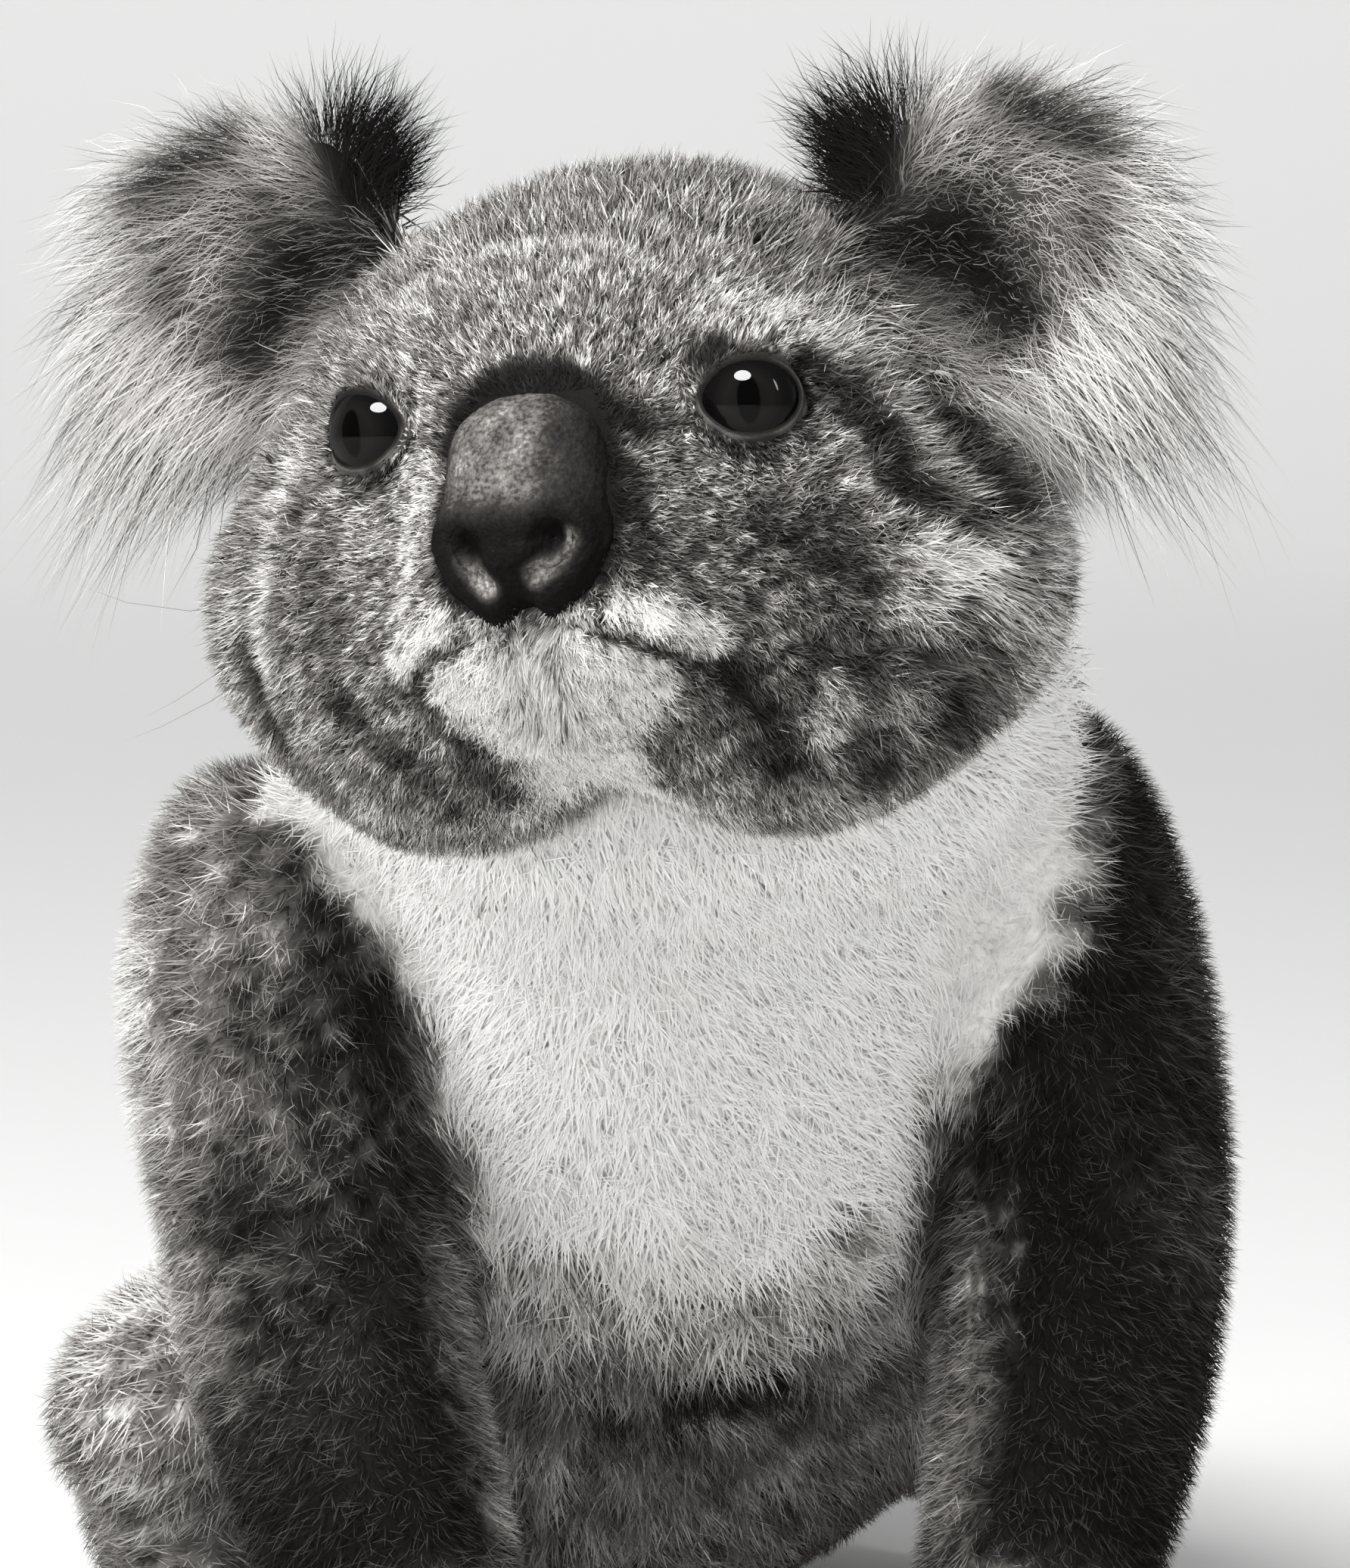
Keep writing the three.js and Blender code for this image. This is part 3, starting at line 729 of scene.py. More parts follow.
def ear_place(head):
    """Place on the ear's flap: outward, backward and upward, where its edge is about 1."""
    side = np.where(head[:, 0] > 0, 1.0, -1.0)
    lift = np.where(side > 0, EAR_LIFT["left"], EAR_LIFT["right"])
    place = np.stack([head[:, 0] * side, head[:, 1], head[:, 2] - lift], 1)
    return (place - EAR_FLAP) / EAR_SIZE


ear_shade = np.where(x > 0, 1, RIGHT_EAR)
pale += on_ear * (ear_tone(ear_place(head)) * ear_shade - pale)
print("ears", pale[on_ear > 0.5].mean().round(2))

# %% Lids and lips
paint(lid, 0.06 + 0.16 * ramp(EYE[2] - z, -3, 7))
paint(upper_fold * 0.5, 0.5)
# painted shade in the fold under each lower lid
paint(lower_fold * 0.6, 0.16)
paint(rim * 0.7, 0.45)
paint(slit_edge, 0.04)
paint(lips, 0.1)
pale = np.clip(pale, DARKEST, 1)
print("lids", pale[lid > 0.5].mean().round(2))

# %% Mottle the greys, and darken the skin under thin wool, partly its own darker tone and partly painted shade deep in the coat
mottle = 0.04 * waves(points, 0.019) + 0.055 * waves(points, 0.009, seed=5)
mottle = mottle + 0.085 * waves(points, 0.005, seed=6)
grey = 1 - ramp(np.abs(pale - 0.45), 0.28, 0.4)
blotchy = 0.5 + 0.6 * share[:, PARTS.index("trunk"):].sum(1) + 0.5 * ramp(-z, 0, 30)
pale = np.clip(pale + mottle * grey * blotchy, DARKEST, 1)
bare = 1 - ramp(np.maximum(lid * 0.62, lips), 0.15, 0.5)
in_white = 0.9 * ramp(pale, 0.7, 0.92) * (1 - 0.6 * share[:, 0])
# the skin between the tufts is darker, partly its own tone and partly painted shade deep in the coat
under_wool = pale * (1 - bare * (0.3 + 0.3 * share[:, 0]) * (1 - in_white))
store(skin_mesh.attributes.new("pale", "FLOAT", "POINT").data, "value", under_wool)
print("lightness", pale.min().round(2), pale.max().round(2))

# %% [markdown]
# ## Finishes
# Colours are written as sRGB hex values and turned to linear in one place. One small helper adds
# a node, sets it and links it. The lightness of coat, skin and nose runs through one ramp of
# near-neutral ash tones, which are slightly warm in the darks.

# %% Colour and node helpers


def linear(hex_code):
    parts = [int(hex_code[i:i + 2], 16) / 255 for i in (0, 2, 4)]
    return [p / 12.92 if p <= 0.04045 else ((p + 0.055) / 1.055) ** 2.4 for p in parts] + [1.0]


def material(name):
    made = bpy.data.materials.new(name)
    made.use_nodes = True
    made.node_tree.nodes.clear()
    return made, made.node_tree


def add(tree, kind, settings=None, **sockets):
    """Adds one node. i0, i1 and so on are its numbered sockets. Each socket gets a value, or a
    link if it is given another node's output."""
    node = tree.nodes.new(kind)
    for name, value in (settings or {}).items():
        setattr(node, name, value)
    for name, value in sockets.items():
        numbered = name[0] == "i" and name[1:].isdigit()
        socket = node.inputs[int(name[1:]) if numbered else name.replace("_", " ")]
        if isinstance(value, bpy.types.NodeSocket):
            tree.links.new(value, socket)
        else:
            socket.default_value = value
    return node


def stops(node, values):
    """Sets the stops of a colour ramp from places and hex colours."""
    elements = node.color_ramp.elements
    while len(elements) < len(values):
        elements.new(0.5)
    for element, (place, code) in zip(elements, values):
        element.position = place
        element.color = linear(code)
    return node


ASH = [  # lightness, and the tone that it stands for
    (0.0, "0a0909"), (0.2, "33312f"), (0.45, "6f6c69"), (0.7, "b2afac"), (0.88, "dddbd8"), (1.0, "f8f7f5"),
]
print("ash tones", len(ASH))

# %% Wool: crimped keratin fibre, so matt that it has no shine of its own
wool, tree = material("keratin_wool")
tint = add(tree, "ShaderNodeAttribute", {"attribute_name": "pale"})
shade = stops(add(tree, "ShaderNodeValToRGB", Fac=tint.outputs["Fac"]), ASH)
surface = add(
    tree, "ShaderNodeBsdfPrincipled", Base_Color=shade.outputs[0], Roughness=0.75, Specular_IOR_Level=0.01
)
add(tree, "ShaderNodeOutputMaterial", Surface=surface.outputs[0])
print(wool.name, len(tree.nodes), "nodes")

# %% Skin: dull hide under the wool, with fine fibre streaks in its bump
hide, tree = material("furred_hide")
tint = add(tree, "ShaderNodeAttribute", {"attribute_name": "pale"})
place = add(tree, "ShaderNodeTexCoord")
grain = add(tree, "ShaderNodeTexNoise", Vector=place.outputs["Object"], Scale=900.0, Detail=3.0)
shade = stops(add(tree, "ShaderNodeValToRGB", Fac=tint.outputs["Fac"]), ASH)
bump = add(tree, "ShaderNodeBump", Strength=0.5, Distance=0.0006, Height=grain.outputs["Fac"])
surface = add(
    tree, "ShaderNodeBsdfPrincipled", Base_Color=shade.outputs[0], Roughness=0.65, Specular_IOR_Level=0.02,
    Normal=bump.outputs[0],
)
add(tree, "ShaderNodeOutputMaterial", Surface=surface.outputs[0])
print(hide.name, len(tree.nodes), "nodes")

# %% Make the skin piece
skin = show(bpy.data.objects.new("koala_skin", skin_mesh))
skin_mesh.materials.append(hide)
skin_mesh.shade_smooth()
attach(skin, "root")
ears = [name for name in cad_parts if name.startswith("ear")]
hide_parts(*[name for name in flesh + ears if not name.startswith(("eye", "nose"))])
print(skin.name, len(skin_mesh.polygons), "faces")

# %% [markdown]
# ## Unwrap of the skin
# Every tuft takes its place on a map from the place of its root on the skin. The skin is
# unwrapped by the directions that it faces, so that no two parts of the body share a place.

# %% Unwrap the skin
bpy.context.view_layer.objects.active = skin
skin.select_set(True)
bpy.ops.object.mode_set(mode="EDIT")
bpy.ops.mesh.select_all(action="SELECT")
bpy.ops.uv.smart_project(angle_limit=math.radians(66), island_margin=0.002)
bpy.ops.object.mode_set(mode="OBJECT")
skin_mesh.uv_layers[0].name = "OFBake"
skin_mesh.calc_loop_triangles()
corner_map = np.empty(len(skin_mesh.loops) * 2, np.float32)
skin_mesh.uv_layers["OFBake"].data.foreach_get("uv", corner_map)
corner_map = corner_map.reshape(-1, 2)
tri_loops = np.empty(len(skin_mesh.loop_triangles) * 3, np.int32)
skin_mesh.loop_triangles.foreach_get("loops", tri_loops)
tri_loops = tri_loops.reshape(-1, 3)
triangles = arrays(skin_mesh)[1]
print("map corners", len(corner_map))

# %% [markdown]
# ## Lie of the coat
# A coat streams away from the nose: back over the brow and cheeks, down the throat and chest, and
# along each leg to the toes. So the path length over the skin from the nose is worked out first,
# and hair lies the way that this length grows, pulled down a little by its weight. On the ears it
# fans out from low on the inner side.

# %% Path length from the nose over the skin


def path_lengths(points, edges, start):
    near = [[] for _ in points]
    steps = np.linalg.norm(points[edges[:, 0]] - points[edges[:, 1]], axis=1)
    for (a, b), step in zip(edges.tolist(), steps.tolist()):
        near[a].append((b, step))
        near[b].append((a, step))
    length = [math.inf] * len(points)
    length[start] = 0.0
    queue = [(0.0, start)]
    while queue:
        so_far, here = heapq.heappop(queue)
        if so_far > length[here]:
            continue
        for there, step in near[here]:
            if so_far + step < length[there]:
                length[there] = so_far + step
                heapq.heappush(queue, (so_far + step, there))
    return np.minimum(np.array(length), 9.0)


nose_tip = int(np.argmin(length_of(head - [0, -70, 2])))
from_tip = spread(path_lengths(points, edges, nose_tip), edges, 12)
print("longest path mm", round(from_tip.max() / MM))

# %% Which way the hair streams
NOSE_TIP = [0, -70, 4]
DOWN = np.array([0, 0, -1.0])
from_nose = from_muzzle(head)


def slope(points, edges, height):
    """Which way a value grows over the mesh."""
    step = points[edges[:, 1]] - points[edges[:, 0]]
    rise = (height[edges[:, 1]] - height[edges[:, 0]]) / np.maximum((step**2).sum(1), 1e-12)
    total = np.zeros_like(points)
    for end in (0, 1):
        for axis in range(3):
            total[:, axis] += np.bincount(edges[:, end], rise * step[:, axis], len(points))
    return unit(total)


def along_skin(vectors, normal):
    """What is left of each vector when the part that stands off the skin is taken away."""
    return vectors - normal * (vectors * normal).sum(1)[:, None]


over_head = head_share[:, None]
away = head - NOSE_TIP
away[:, 2] -= 18 * ramp(-head[:, 2], 0, 40) * ramp(np.abs(head[:, 0]), 20, 60)
streams = unit(away) @ HEAD_TURN.T
onward = spread(slope(points, edges, from_tip), edges, 15)
lie = streams * over_head + unit(onward + 0.45 * DOWN) * (1 - over_head)
lip = ramp(-np.abs(over_lip(head) - 1), -7, -2) * ramp(-head[:, 1], 44, 50)
lip = lip * ramp(-np.abs(head[:, 0]), -40, -33)
level = np.zeros(len(head))
hang = unit(np.stack([head[:, 0] * 0.035, level - 0.35, level - 1], 1)) @ HEAD_TURN.T
lie += (hang - lie) * lip[:, None]
for sign in SIDES.values():
    aside = head - EYE * (sign, 1, 1)
    ring = 1 - ramp(length_of(aside), 11, 18)
    lie += 1.3 * ring[:, None] * (unit(aside) @ HEAD_TURN.T)
lie = spread(along_skin(lie, normal), edges, 6)
print("lie at", len(lie), "points")

# %% Swirls, and the fan of the ears
swirl = [waves(points, 0.02, seed=s) + 0.7 * waves(points, 0.009, seed=s + 5) for s in (21, 22, 23)]
unrest = 0.12 + 0.16 * share[:, PARTS.index("neck"):].sum(1) + 0.16 * ramp(from_nose, 60, 95)
lie = along_skin(unit(lie) + np.stack(swirl, 1) * unrest[:, None], normal)
side = np.where(head[:, 0] > 0, 1.0, -1.0)
flap_x, _, flap_z = ear_place(head).T
black_tuft = black_corner(flap_x, flap_z)
fan = [side * (flap_x + 1.0 - 1.0 * black_tuft), -0.12 + 0 * flap_x, flap_z - 0.3 + 0.1 * black_tuft]
fan = unit(np.stack(fan, 1)) @ HEAD_TURN.T
lie = unit(unit(lie) * (1 - on_ear[:, None]) + fan * on_ear[:, None])
print("ear fan mean", fan[on_ear > 0.5].mean(0).round(2))

# %% Reach, height and girth of the tufts at each point
RUN = {  # how far a tuft reaches along the body, in mm
    "head": 6, "nose": 2, "eye": 2, "neck": 8, "trunk": 7.5, "upper_arm": 4.7, "forearm": 4.7,
    "hand": 4.0, "thigh": 6, "shank": 5.5, "foot": 4,
}
reach = share @ np.array([RUN[name] for name in PARTS], float)
reach += share[:, 0] * (2.2 + 5.8 * ramp(from_nose, 35, 115) - RUN["head"])
from_eye = np.minimum(*[length_of(head - EYE * (sign, 1, 1)) for sign in SIDES.values()])
reach *= 1 - 0.55 * (1 - ramp(from_eye, 11, 19))
on_chin = ramp(-over_lip(head), 1, 4) * ramp(-head[:, 1], 18, 30) * ramp(-np.abs(head[:, 0]), -34, -24)
reach += share[:, 0] * (3.5 * on_chin + 2.5 * (1 - ramp(from_fringe(head), 2, 5)))
flap_out = np.hypot(flap_x, flap_z)
toward = np.clip(flap_x / np.maximum(flap_out, 0.2), -1, 1)
low_fringe = ramp(-flap_z, 0.1, 0.6) * ramp(toward, -0.2, 0.4)
lock = 7 + ramp(flap_out, 0.4, 1.0) * (5 + 13 * black_tuft + 18 * ramp(toward, 0.0, 0.75) + 12 * low_fringe)
lock += 7 * ramp(flap_z, 0.4, 0.9) * (1 - black_tuft)
reach = reach * (1 - on_ear) + on_ear * lock
height = depth * (1 - on_ear) + on_ear * (5 - 2 * ramp(flap_out, 0.5, 1.0))
girth = 0.32 + 0.3 * ramp(reach, 3, 10)
print("reach mm", reach.min().round(1), reach.max().round(1))

# %% [markdown]
# ## One tuft
# A tuft is a closed sliver. On the head and body it is a straight spike of four triangles, so
# that very many can stand close together. On the ears, and for a whisker, it is bent: its root
# is inside the skin, then come three-sided rings and a tip, with six triangles for each ring.
# All tufts of one coat piece are written as one mesh from arrays, which is quick.

# %% Places for roots, and the skin below a place
skin_tree = BVHTree.FromPolygons([tuple(p) for p in points], [tuple(t) for t in triangles.tolist()])
first, second, third = points[triangles].transpose(1, 0, 2)
tri_area = length_of(np.cross(second - first, third - first)) / 2


def scatter(count, weight):
    """Triangles and shares of their corners for roots, spread evenly by area and weight."""
    mass = tri_area * weight[triangles].mean(1)
    total = np.cumsum(mass)
    ticks = (np.arange(count) + chance.random(count)) / count * total[-1]
    chosen = np.minimum(np.searchsorted(total, ticks), len(total) - 1)
    first, second = chance.random((2, count))
    flip = first + second > 1
    first, second = np.where(flip, 1 - first, first), np.where(flip, 1 - second, second)
    return chosen, np.stack([1 - first - second, first, second], 1)


def at(values, chosen, blend):
    picked = values[triangles[chosen]]
    return np.einsum("nk,nk...->n...", blend, picked)


def over_skin(places, out):
    """The nearest skin below each place, unless that skin faces another way."""
    hits = [skin_tree.find_nearest(Vector(p))[:2] for p in places]
    below = np.array([h[0] for h in hits])
    facing_out = np.array([h[1] for h in hits])
    same = ramp((facing_out * out).sum(1), 0.1, 0.6)[:, None]
    same = same * ramp(-length_of(below - places) / MM, -5, -3)[:, None]
    return places + (below - places) * same, unit(out + (facing_out - out) * same)


print("skin area in square metres", tri_area.sum().round(3))

# %% Write tufts as a mesh
PATCH = 0.003  # side of a tuft's patch on the map
FLOOR_GAP = 0.0004  # metres that every tuft keeps above the floor
totals = []


def coat_mesh(name, verts, shine, tones, places, template, root_map):
    """Writes tufts x corners x 3 as one mesh. places puts each corner of a tuft in its patch.
    shine is the direction in which each corner catches the light."""
    count, size = verts.shape[:2]
    verts[:, :, 2] = np.maximum(verts[:, :, 2], FLOOR_GAP)
    patch = root_map[:, None] + places * PATCH
    index = (template[None] + np.arange(count)[:, None, None] * size).reshape(-1)
    mesh = bpy.data.meshes.new(name)
    mesh.vertices.add(count * size)
    store(mesh.vertices, "co", verts)
    mesh.loops.add(len(index))
    mesh.loops.foreach_set("vertex_index", index.astype(np.int32))
    mesh.polygons.add(len(index) // 3)
    mesh.polygons.foreach_set("loop_start", np.arange(0, len(index), 3, dtype=np.int32))
    store(mesh.attributes.new("pale", "FLOAT", "POINT").data, "value", tones)
    mesh.update(calc_edges=True)
    store(mesh.attributes.new("custom_normal", "FLOAT_VECTOR", "POINT").data, "vector", unit(shine))
    store(mesh.uv_layers.new(name="OFBake").data, "uv", patch.reshape(-1, 2)[index])
    mesh.materials.append(wool)
    mesh.shade_smooth()
    piece = show(bpy.data.objects.new(name, mesh))
    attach(piece, "root")
    totals.append(len(index) // 3)
    print(name, count, "tufts", totals[-1], "triangles")


# %% Straight spikes
SPIKE_FACES = np.array([(0, 1, 2), (3, 0, 2), (3, 2, 1), (3, 1, 0)])


def spikes(name, roots, tips, width, across, up, out, tone, root_map, soft):
    half = width[:, None] / 2
    base = np.stack([out + soft * across, out - soft * across, out, out], 1)
    verts = np.stack([roots + across * half, roots - across * half, roots + up * half, tips], 1)
    tones = np.stack([tone[:, 0], tone[:, 0], tone[:, 0], tone[:, 1]], 1)
    places = np.array([(-0.5, 0.5), (-0.5, -0.5), (-0.3, 0.0), (0.5, 0.0)])
    coat_mesh(name, verts, base, tones, places, SPIKE_FACES, root_map)

# %% Bent tufts
ROUND = 0.45  # wool is soft, so a tuft mostly takes the light as the skin below it would


def tuft_faces(rings):
    """Corner numbers of one bent tuft: the root is 0, then three for each ring, then the tip."""
    tip = 1 + 3 * rings
    made = [(0, 3, 1), (0, 2, 3), (0, 1, 2)]
    for ring in range(rings - 1):
        a, b, c = (1 + 3 * ring + k for k in range(3))
        d, e, f = a + 3, b + 3, c + 3
        made += [(a, c, f), (a, f, d), (c, b, e), (c, e, f), (b, a, d), (b, d, e)]
    a, b, c = (tip - 3, tip - 2, tip - 1)
    return np.array(made + [(tip, a, c), (tip, c, b), (tip, b, a)])


def bent_tufts(name, spine, width, across, up, out, tone, root_map):
    """spine is tufts x (root, rings..., tip) x 3. tone has one value for each point of the spine."""
    count, stations = spine.shape[:2]
    rings = stations - 2
    body = spine[:, 1:-1]
    half = width[:, :, None] / 2
    ring = np.stack([body + across * half, body - across * half, body + up * half * 0.7], 2)
    verts = np.concatenate([spine[:, :1], ring.reshape(count, rings * 3, 3), spine[:, -1:]], 1)
    tones = np.concatenate([tone[:, :1], np.repeat(tone[:, 1:-1], 3, 1), tone[:, -1:]], 1)
    base = np.repeat(out[:, None], verts.shape[1], 1)
    round_it = np.stack([across, -across, up * 0.5], 2) * np.ones((count, rings, 3, 1))
    base[:, 1:-1] += ROUND * round_it.reshape(count, rings * 3, 3)
    along = np.concatenate([[0], np.repeat(np.linspace(0.35, 0.75, rings), 3), [1]]) - 0.5
    beside = np.concatenate([[0], np.tile([0.5, -0.5, 0.0], rings), [0]])
    coat_mesh(name, verts, base, tones, np.stack([along, beside], 1), tuft_faces(rings), root_map)

# %% Locks


def gathered(roots, tips, out, per_clump, pull, hold=0.35):
    """Draws tips towards the tips of nearby leading tufts, so that the wool parts into locks."""
    leaders = chance.choice(len(roots), max(len(roots) // per_clump, 1), replace=False)
    tree = KDTree(len(leaders))
    for number, leader in enumerate(leaders):
        tree.insert(roots[leader], number)
    tree.balance()
    clump = np.array([tree.find(root)[1] for root in roots])
    leader = leaders[clump]
    aim = tips[leader] + (roots - roots[leader]) * hold
    alike = ramp((out * out[leader]).sum(1), 0.5, 0.85)
    return tips + (aim - tips) * (pull * alike)[:, None], clump


# %% [markdown]
# ## The wool of head and body
# The animal is covered in regions. Each region gets its own number of tufts: many short fine
# spikes on the face, and longer, thicker ones on the body. A koala's hairs are ringed dark and
# light, so neighbours differ, and about one in five is nearly black.

# %% Grow one region
THIN = 1.0
DARK_HAIRS = 0.2
GUARD_HAIRS = 0.1  # share of long thin hairs, which stand out of the locks


def ticked(tone, clump, own=1.0, lock=1.0, even=0.88):
    """Each hair and each lock a little lighter or darker, and some hairs much darker."""
    grey = (1 - even * ramp(tone, 0.66, 0.86)) * (0.08 + 1.3 * tone)
    hair = chance.normal(size=len(tone)) * 0.2 - 0.38 * (chance.random(len(tone)) < DARK_HAIRS)
    locks = chance.normal(size=clump.max() + 1)[clump] * 0.14
    return np.clip(tone + (hair * own + locks * lock) * grey, 0.015, 1)


def map_place(chosen, blend):
    """Where a root is on the skin's map."""
    return np.einsum("nk,nkc->nc", blend, corner_map[tri_loops[chosen]])


def grow(
    name, count, weight, slot, per_clump=9, pull=0.4, bold=1.0, stray=0.5, lift=1.0, own=1.0,
    lock=1.0, soft=ROUND, fleck=0.0,
):
    """One piece of the coat. weight says where it grows, per_clump and pull how it gathers, bold,
    stray and lift how thick, loose and high its tufts are, own and lock how much hairs and locks
    differ in tone, soft how round a tuft looks, and fleck how many tufts have pale tips."""
    count = int(count * THIN)
    chosen, blend = scatter(count, weight)
    roots = at(points, chosen, blend)
    out = unit(at(normal, chosen, blend))
    way = unit(at(lie, chosen, blend) + stray * chance.normal(size=(count, 3)))
    way = unit(along_skin(way, out))
    guard = chance.random(count) < GUARD_HAIRS
    run = at(reach, chosen, blend) * MM * chance.uniform(0.6, 1.15, count)
    rise = at(height, chosen, blend) * MM * chance.uniform(0.8 - 0.4 * soft, 1.1, count)
    rise = rise * lift * np.where(guard, 1.2, 1)
    wide = at(girth, chosen, blend) * MM * bold * chance.uniform(0.7, 1.6, count) / THIN**0.5
    wide *= np.where(guard, 0.55, 1)
    under, skin_out = over_skin(roots + way * run[:, None], out)
    tips = under + skin_out * rise[:, None]
    tips, clump = gathered(roots, tips, out, per_clump, chance.uniform(0.3, 1.0, count) * pull * ~guard)
    across = unit(np.cross(out, way))
    above = unit(np.cross(tips - roots, across))
    above *= np.sign((above * out).sum(1))[:, None]
    tone = at(pale, chosen, blend)
    grey = 1 - 0.8 * ramp(tone, 0.74, 0.95)
    tone = tone * (1 + 0.16 * waves(roots, 0.0035, 9, 51) * grey * own)
    tone = ticked(tone, clump, own, lock)
    even = ramp(tone, 0.62, 0.95) * (1.05 - 0.8 * soft)
    root_tone = tone * (1 - 0.9 * soft * (1 - even) - 0.1 * (1 - even))
    tip_tone = np.clip(tone * (1.15 - 0.1 * even) + 0.01, 0, 1)
    tip_tone += 0.28 * (chance.random(count) < fleck) * (1 - ramp(tone, 0.3, 0.6))
    tones = np.stack([root_tone, tip_tone], 1)
    sunk = roots - out * 0.15 * MM
    spikes(name, sunk, tips, wide, across, above, out, tones, map_place(chosen, blend), soft)


# %% Grow the head's wool
by_pad = ramp(-nose_gap(head), -0.2, 1.0) * ramp(-head[:, 1], 44, 50)
no_pad = 1 - by_pad * ramp(head[:, 2], -26, -22) * ramp(-head[:, 2], -20, -16)
no_ear = 1 - ramp(on_ear, 0.3, 0.6)
on_head = ramp(head_share, 0.3, 0.7) * no_ear * bare * no_pad
front_face = ramp(-head[:, 1], 22, 34) * ramp(-np.abs(head[:, 0]), -74, -60)
upper = ramp(head[:, 2], 2, 14)
head_left = (head[:, 0] > 0) * 1.0
grow("coat_face_left", 43000, on_head * front_face * head_left, "coat_grey", own=1.15, lock=0.9)
grow("coat_face_right", 43000, on_head * front_face * (1 - head_left), "coat_grey", own=1.15, lock=0.9)
grow("coat_crown", 22000, on_head * (1 - front_face) * upper, "coat_grey", pull=0.35, stray=0.6, lift=1.5)
grow("coat_cheeks", 32000, on_head * (1 - front_face) * (1 - upper), "coat_grey", 12, lift=1.2, own=0.9)

# %% Grow the body's wool
on_body = 1 - ramp(head_share, 0.3, 0.7)
on_trunk = on_body * on_part["trunk"]
ahead = ramp(-normal[:, 1], -0.1, 0.2)
left_half = (points[:, 0] > 0) * 1.0
WHITE_WOOL = {"pull": 0.2, "stray": 0.65, "own": 0.22, "soft": 0.03}
BACK_WOOL = {"bold": 1.1, "stray": 0.6, "own": 0.4, "lock": 0.7, "soft": 0.12}
LIMBS = {"per_clump": 5, "pull": 0.25, "stray": 0.7, "own": 0.5, "soft": 0.25}
grow("coat_neck", 17000, on_body * on_part["neck"] * no_ear, "coat_pale", **WHITE_WOOL)
grow("coat_chest", 30000, on_trunk * ahead, "coat_pale", **WHITE_WOOL)
grow("coat_back", 25000, on_trunk * (1 - ahead), "coat_grey", 6, **BACK_WOOL)
arms = on_body * share[:, PARTS.index("upper_arm"):PARTS.index("thigh")].sum(1)
legs = on_body * share[:, PARTS.index("thigh"):].sum(1)
for side_name, half in (("left", left_half), ("right", 1 - left_half)):
    grow("coat_arm_" + side_name, 30000, arms * half, "coat_dark", bold=0.85, lock=0.7, fleck=0.45, **LIMBS)
    grow("coat_leg_" + side_name, 15000, legs * half, "coat_grey", lock=0.6, fleck=0.1, **LIMBS)

# %% [markdown]
# ## The ears' long locks
# The ears carry silky hair up to 35 mm long, which fans out past the flap and hangs at its outer
# edge. Each lock has two rings, so that it can bend.

# %% Grow the ears' locks
PALE_HAIRS = 0.28


def grow_ear(side, count):
    count = int(count * THIN)
    half = head_left if side == "left" else 1 - head_left
    wanted = 0.7 + 0.9 * ramp(flap_out, 0.4, 0.9) + 1.9 * black_tuft
    chosen, blend = scatter(count, ramp(on_ear, 0.35, 0.7) * half * wanted)
    roots = at(points, chosen, blend)
    out = unit(at(normal, chosen, blend))
    x, y, z = ear_place(to_head(roots)).T
    edge = ramp(np.hypot(x, z), 0.45, 0.95)
    run = at(reach, chosen, blend) * MM * chance.uniform(0.45, 1.1, count)
    rise = at(height, chosen, blend) * MM * chance.uniform(0.5, 1.2, count)
    loose = (0.2 + 0.3 * (1 - edge))[:, None]
    way = at(lie, chosen, blend) + loose * chance.normal(size=(count, 3))
    way = unit(way + out * (0.15 * (1 - edge))[:, None])
    droop = DOWN * (ramp(x, 0.0, 0.8) * (0.4 + 0.3 * ramp(-z, -0.3, 0.5)))[:, None]
    steps = np.array([0.0, 0.33, 0.7, 1.0])
    spine = roots[:, None] + way[:, None] * (run[:, None] * steps)[..., None]
    arch = out[:, None] * (rise[:, None] * np.sin(steps * math.pi * 0.55))[..., None]
    spine += arch * (1 - 0.6 * edge)[:, None, None]
    spine += droop[:, None] * (run[:, None] * steps**1.8)[..., None]
    across = unit(np.cross(out, way))
    wave = 3.0 * waves(roots, 0.012, seed=31)[:, None] + 4.5 * steps + chance.normal(size=(count, 1))
    spine += across[:, None] * (np.sin(wave) * 0.12 * run[:, None] * steps)[..., None]
    tips, clump = gathered(roots, spine[:, -1], out, 14, chance.uniform(0.0, 1.0, count) * 0.4)
    spine += (tips - spine[:, -1])[:, None] * (steps**1.5)[None, :, None]
    spine[:, 0] -= out * 0.3 * MM
    wide = 0.16 * MM * chance.uniform(0.6, 1.4, count)[:, None] * np.array([1.0, 0.75]) / THIN**0.5
    corner = black_corner(x, z)
    placed = ear_tone(ear_place(to_head(spine.reshape(-1, 3)))).reshape(count, 4)
    placed *= 1 if side == "left" else RIGHT_EAR
    placed += (0.5 - placed) * ramp((out @ HEAD_TURN)[:, 1], -0.1, 0.4)[:, None]
    lighter = (chance.random(count) < PALE_HAIRS) * (1 - corner)
    placed += (0.55 - placed).clip(0) * 0.7 * lighter[:, None]
    placed += (0.02 - placed) * corner[:, None]
    own = ticked(placed[:, 1], clump, 0.3, 0.5) - placed[:, 1]
    tones = np.clip(placed + own[:, None] + placed * 0.2 * np.array([-0.8, -0.3, 0.1, 0.2]), 0.015, 1)
    ring_across = np.repeat(across[:, None], 2, 1)
    ring_up = np.repeat(unit(np.cross(way, across))[:, None], 2, 1)
    soft_out = unit(out + 0.5 * way)
    root_map = map_place(chosen, blend)
    bent_tufts("coat_ear_" + side, spine, wide, ring_across, ring_up, soft_out, tones, root_map)


grow_ear("left", 12000)
grow_ear("right", 12000)

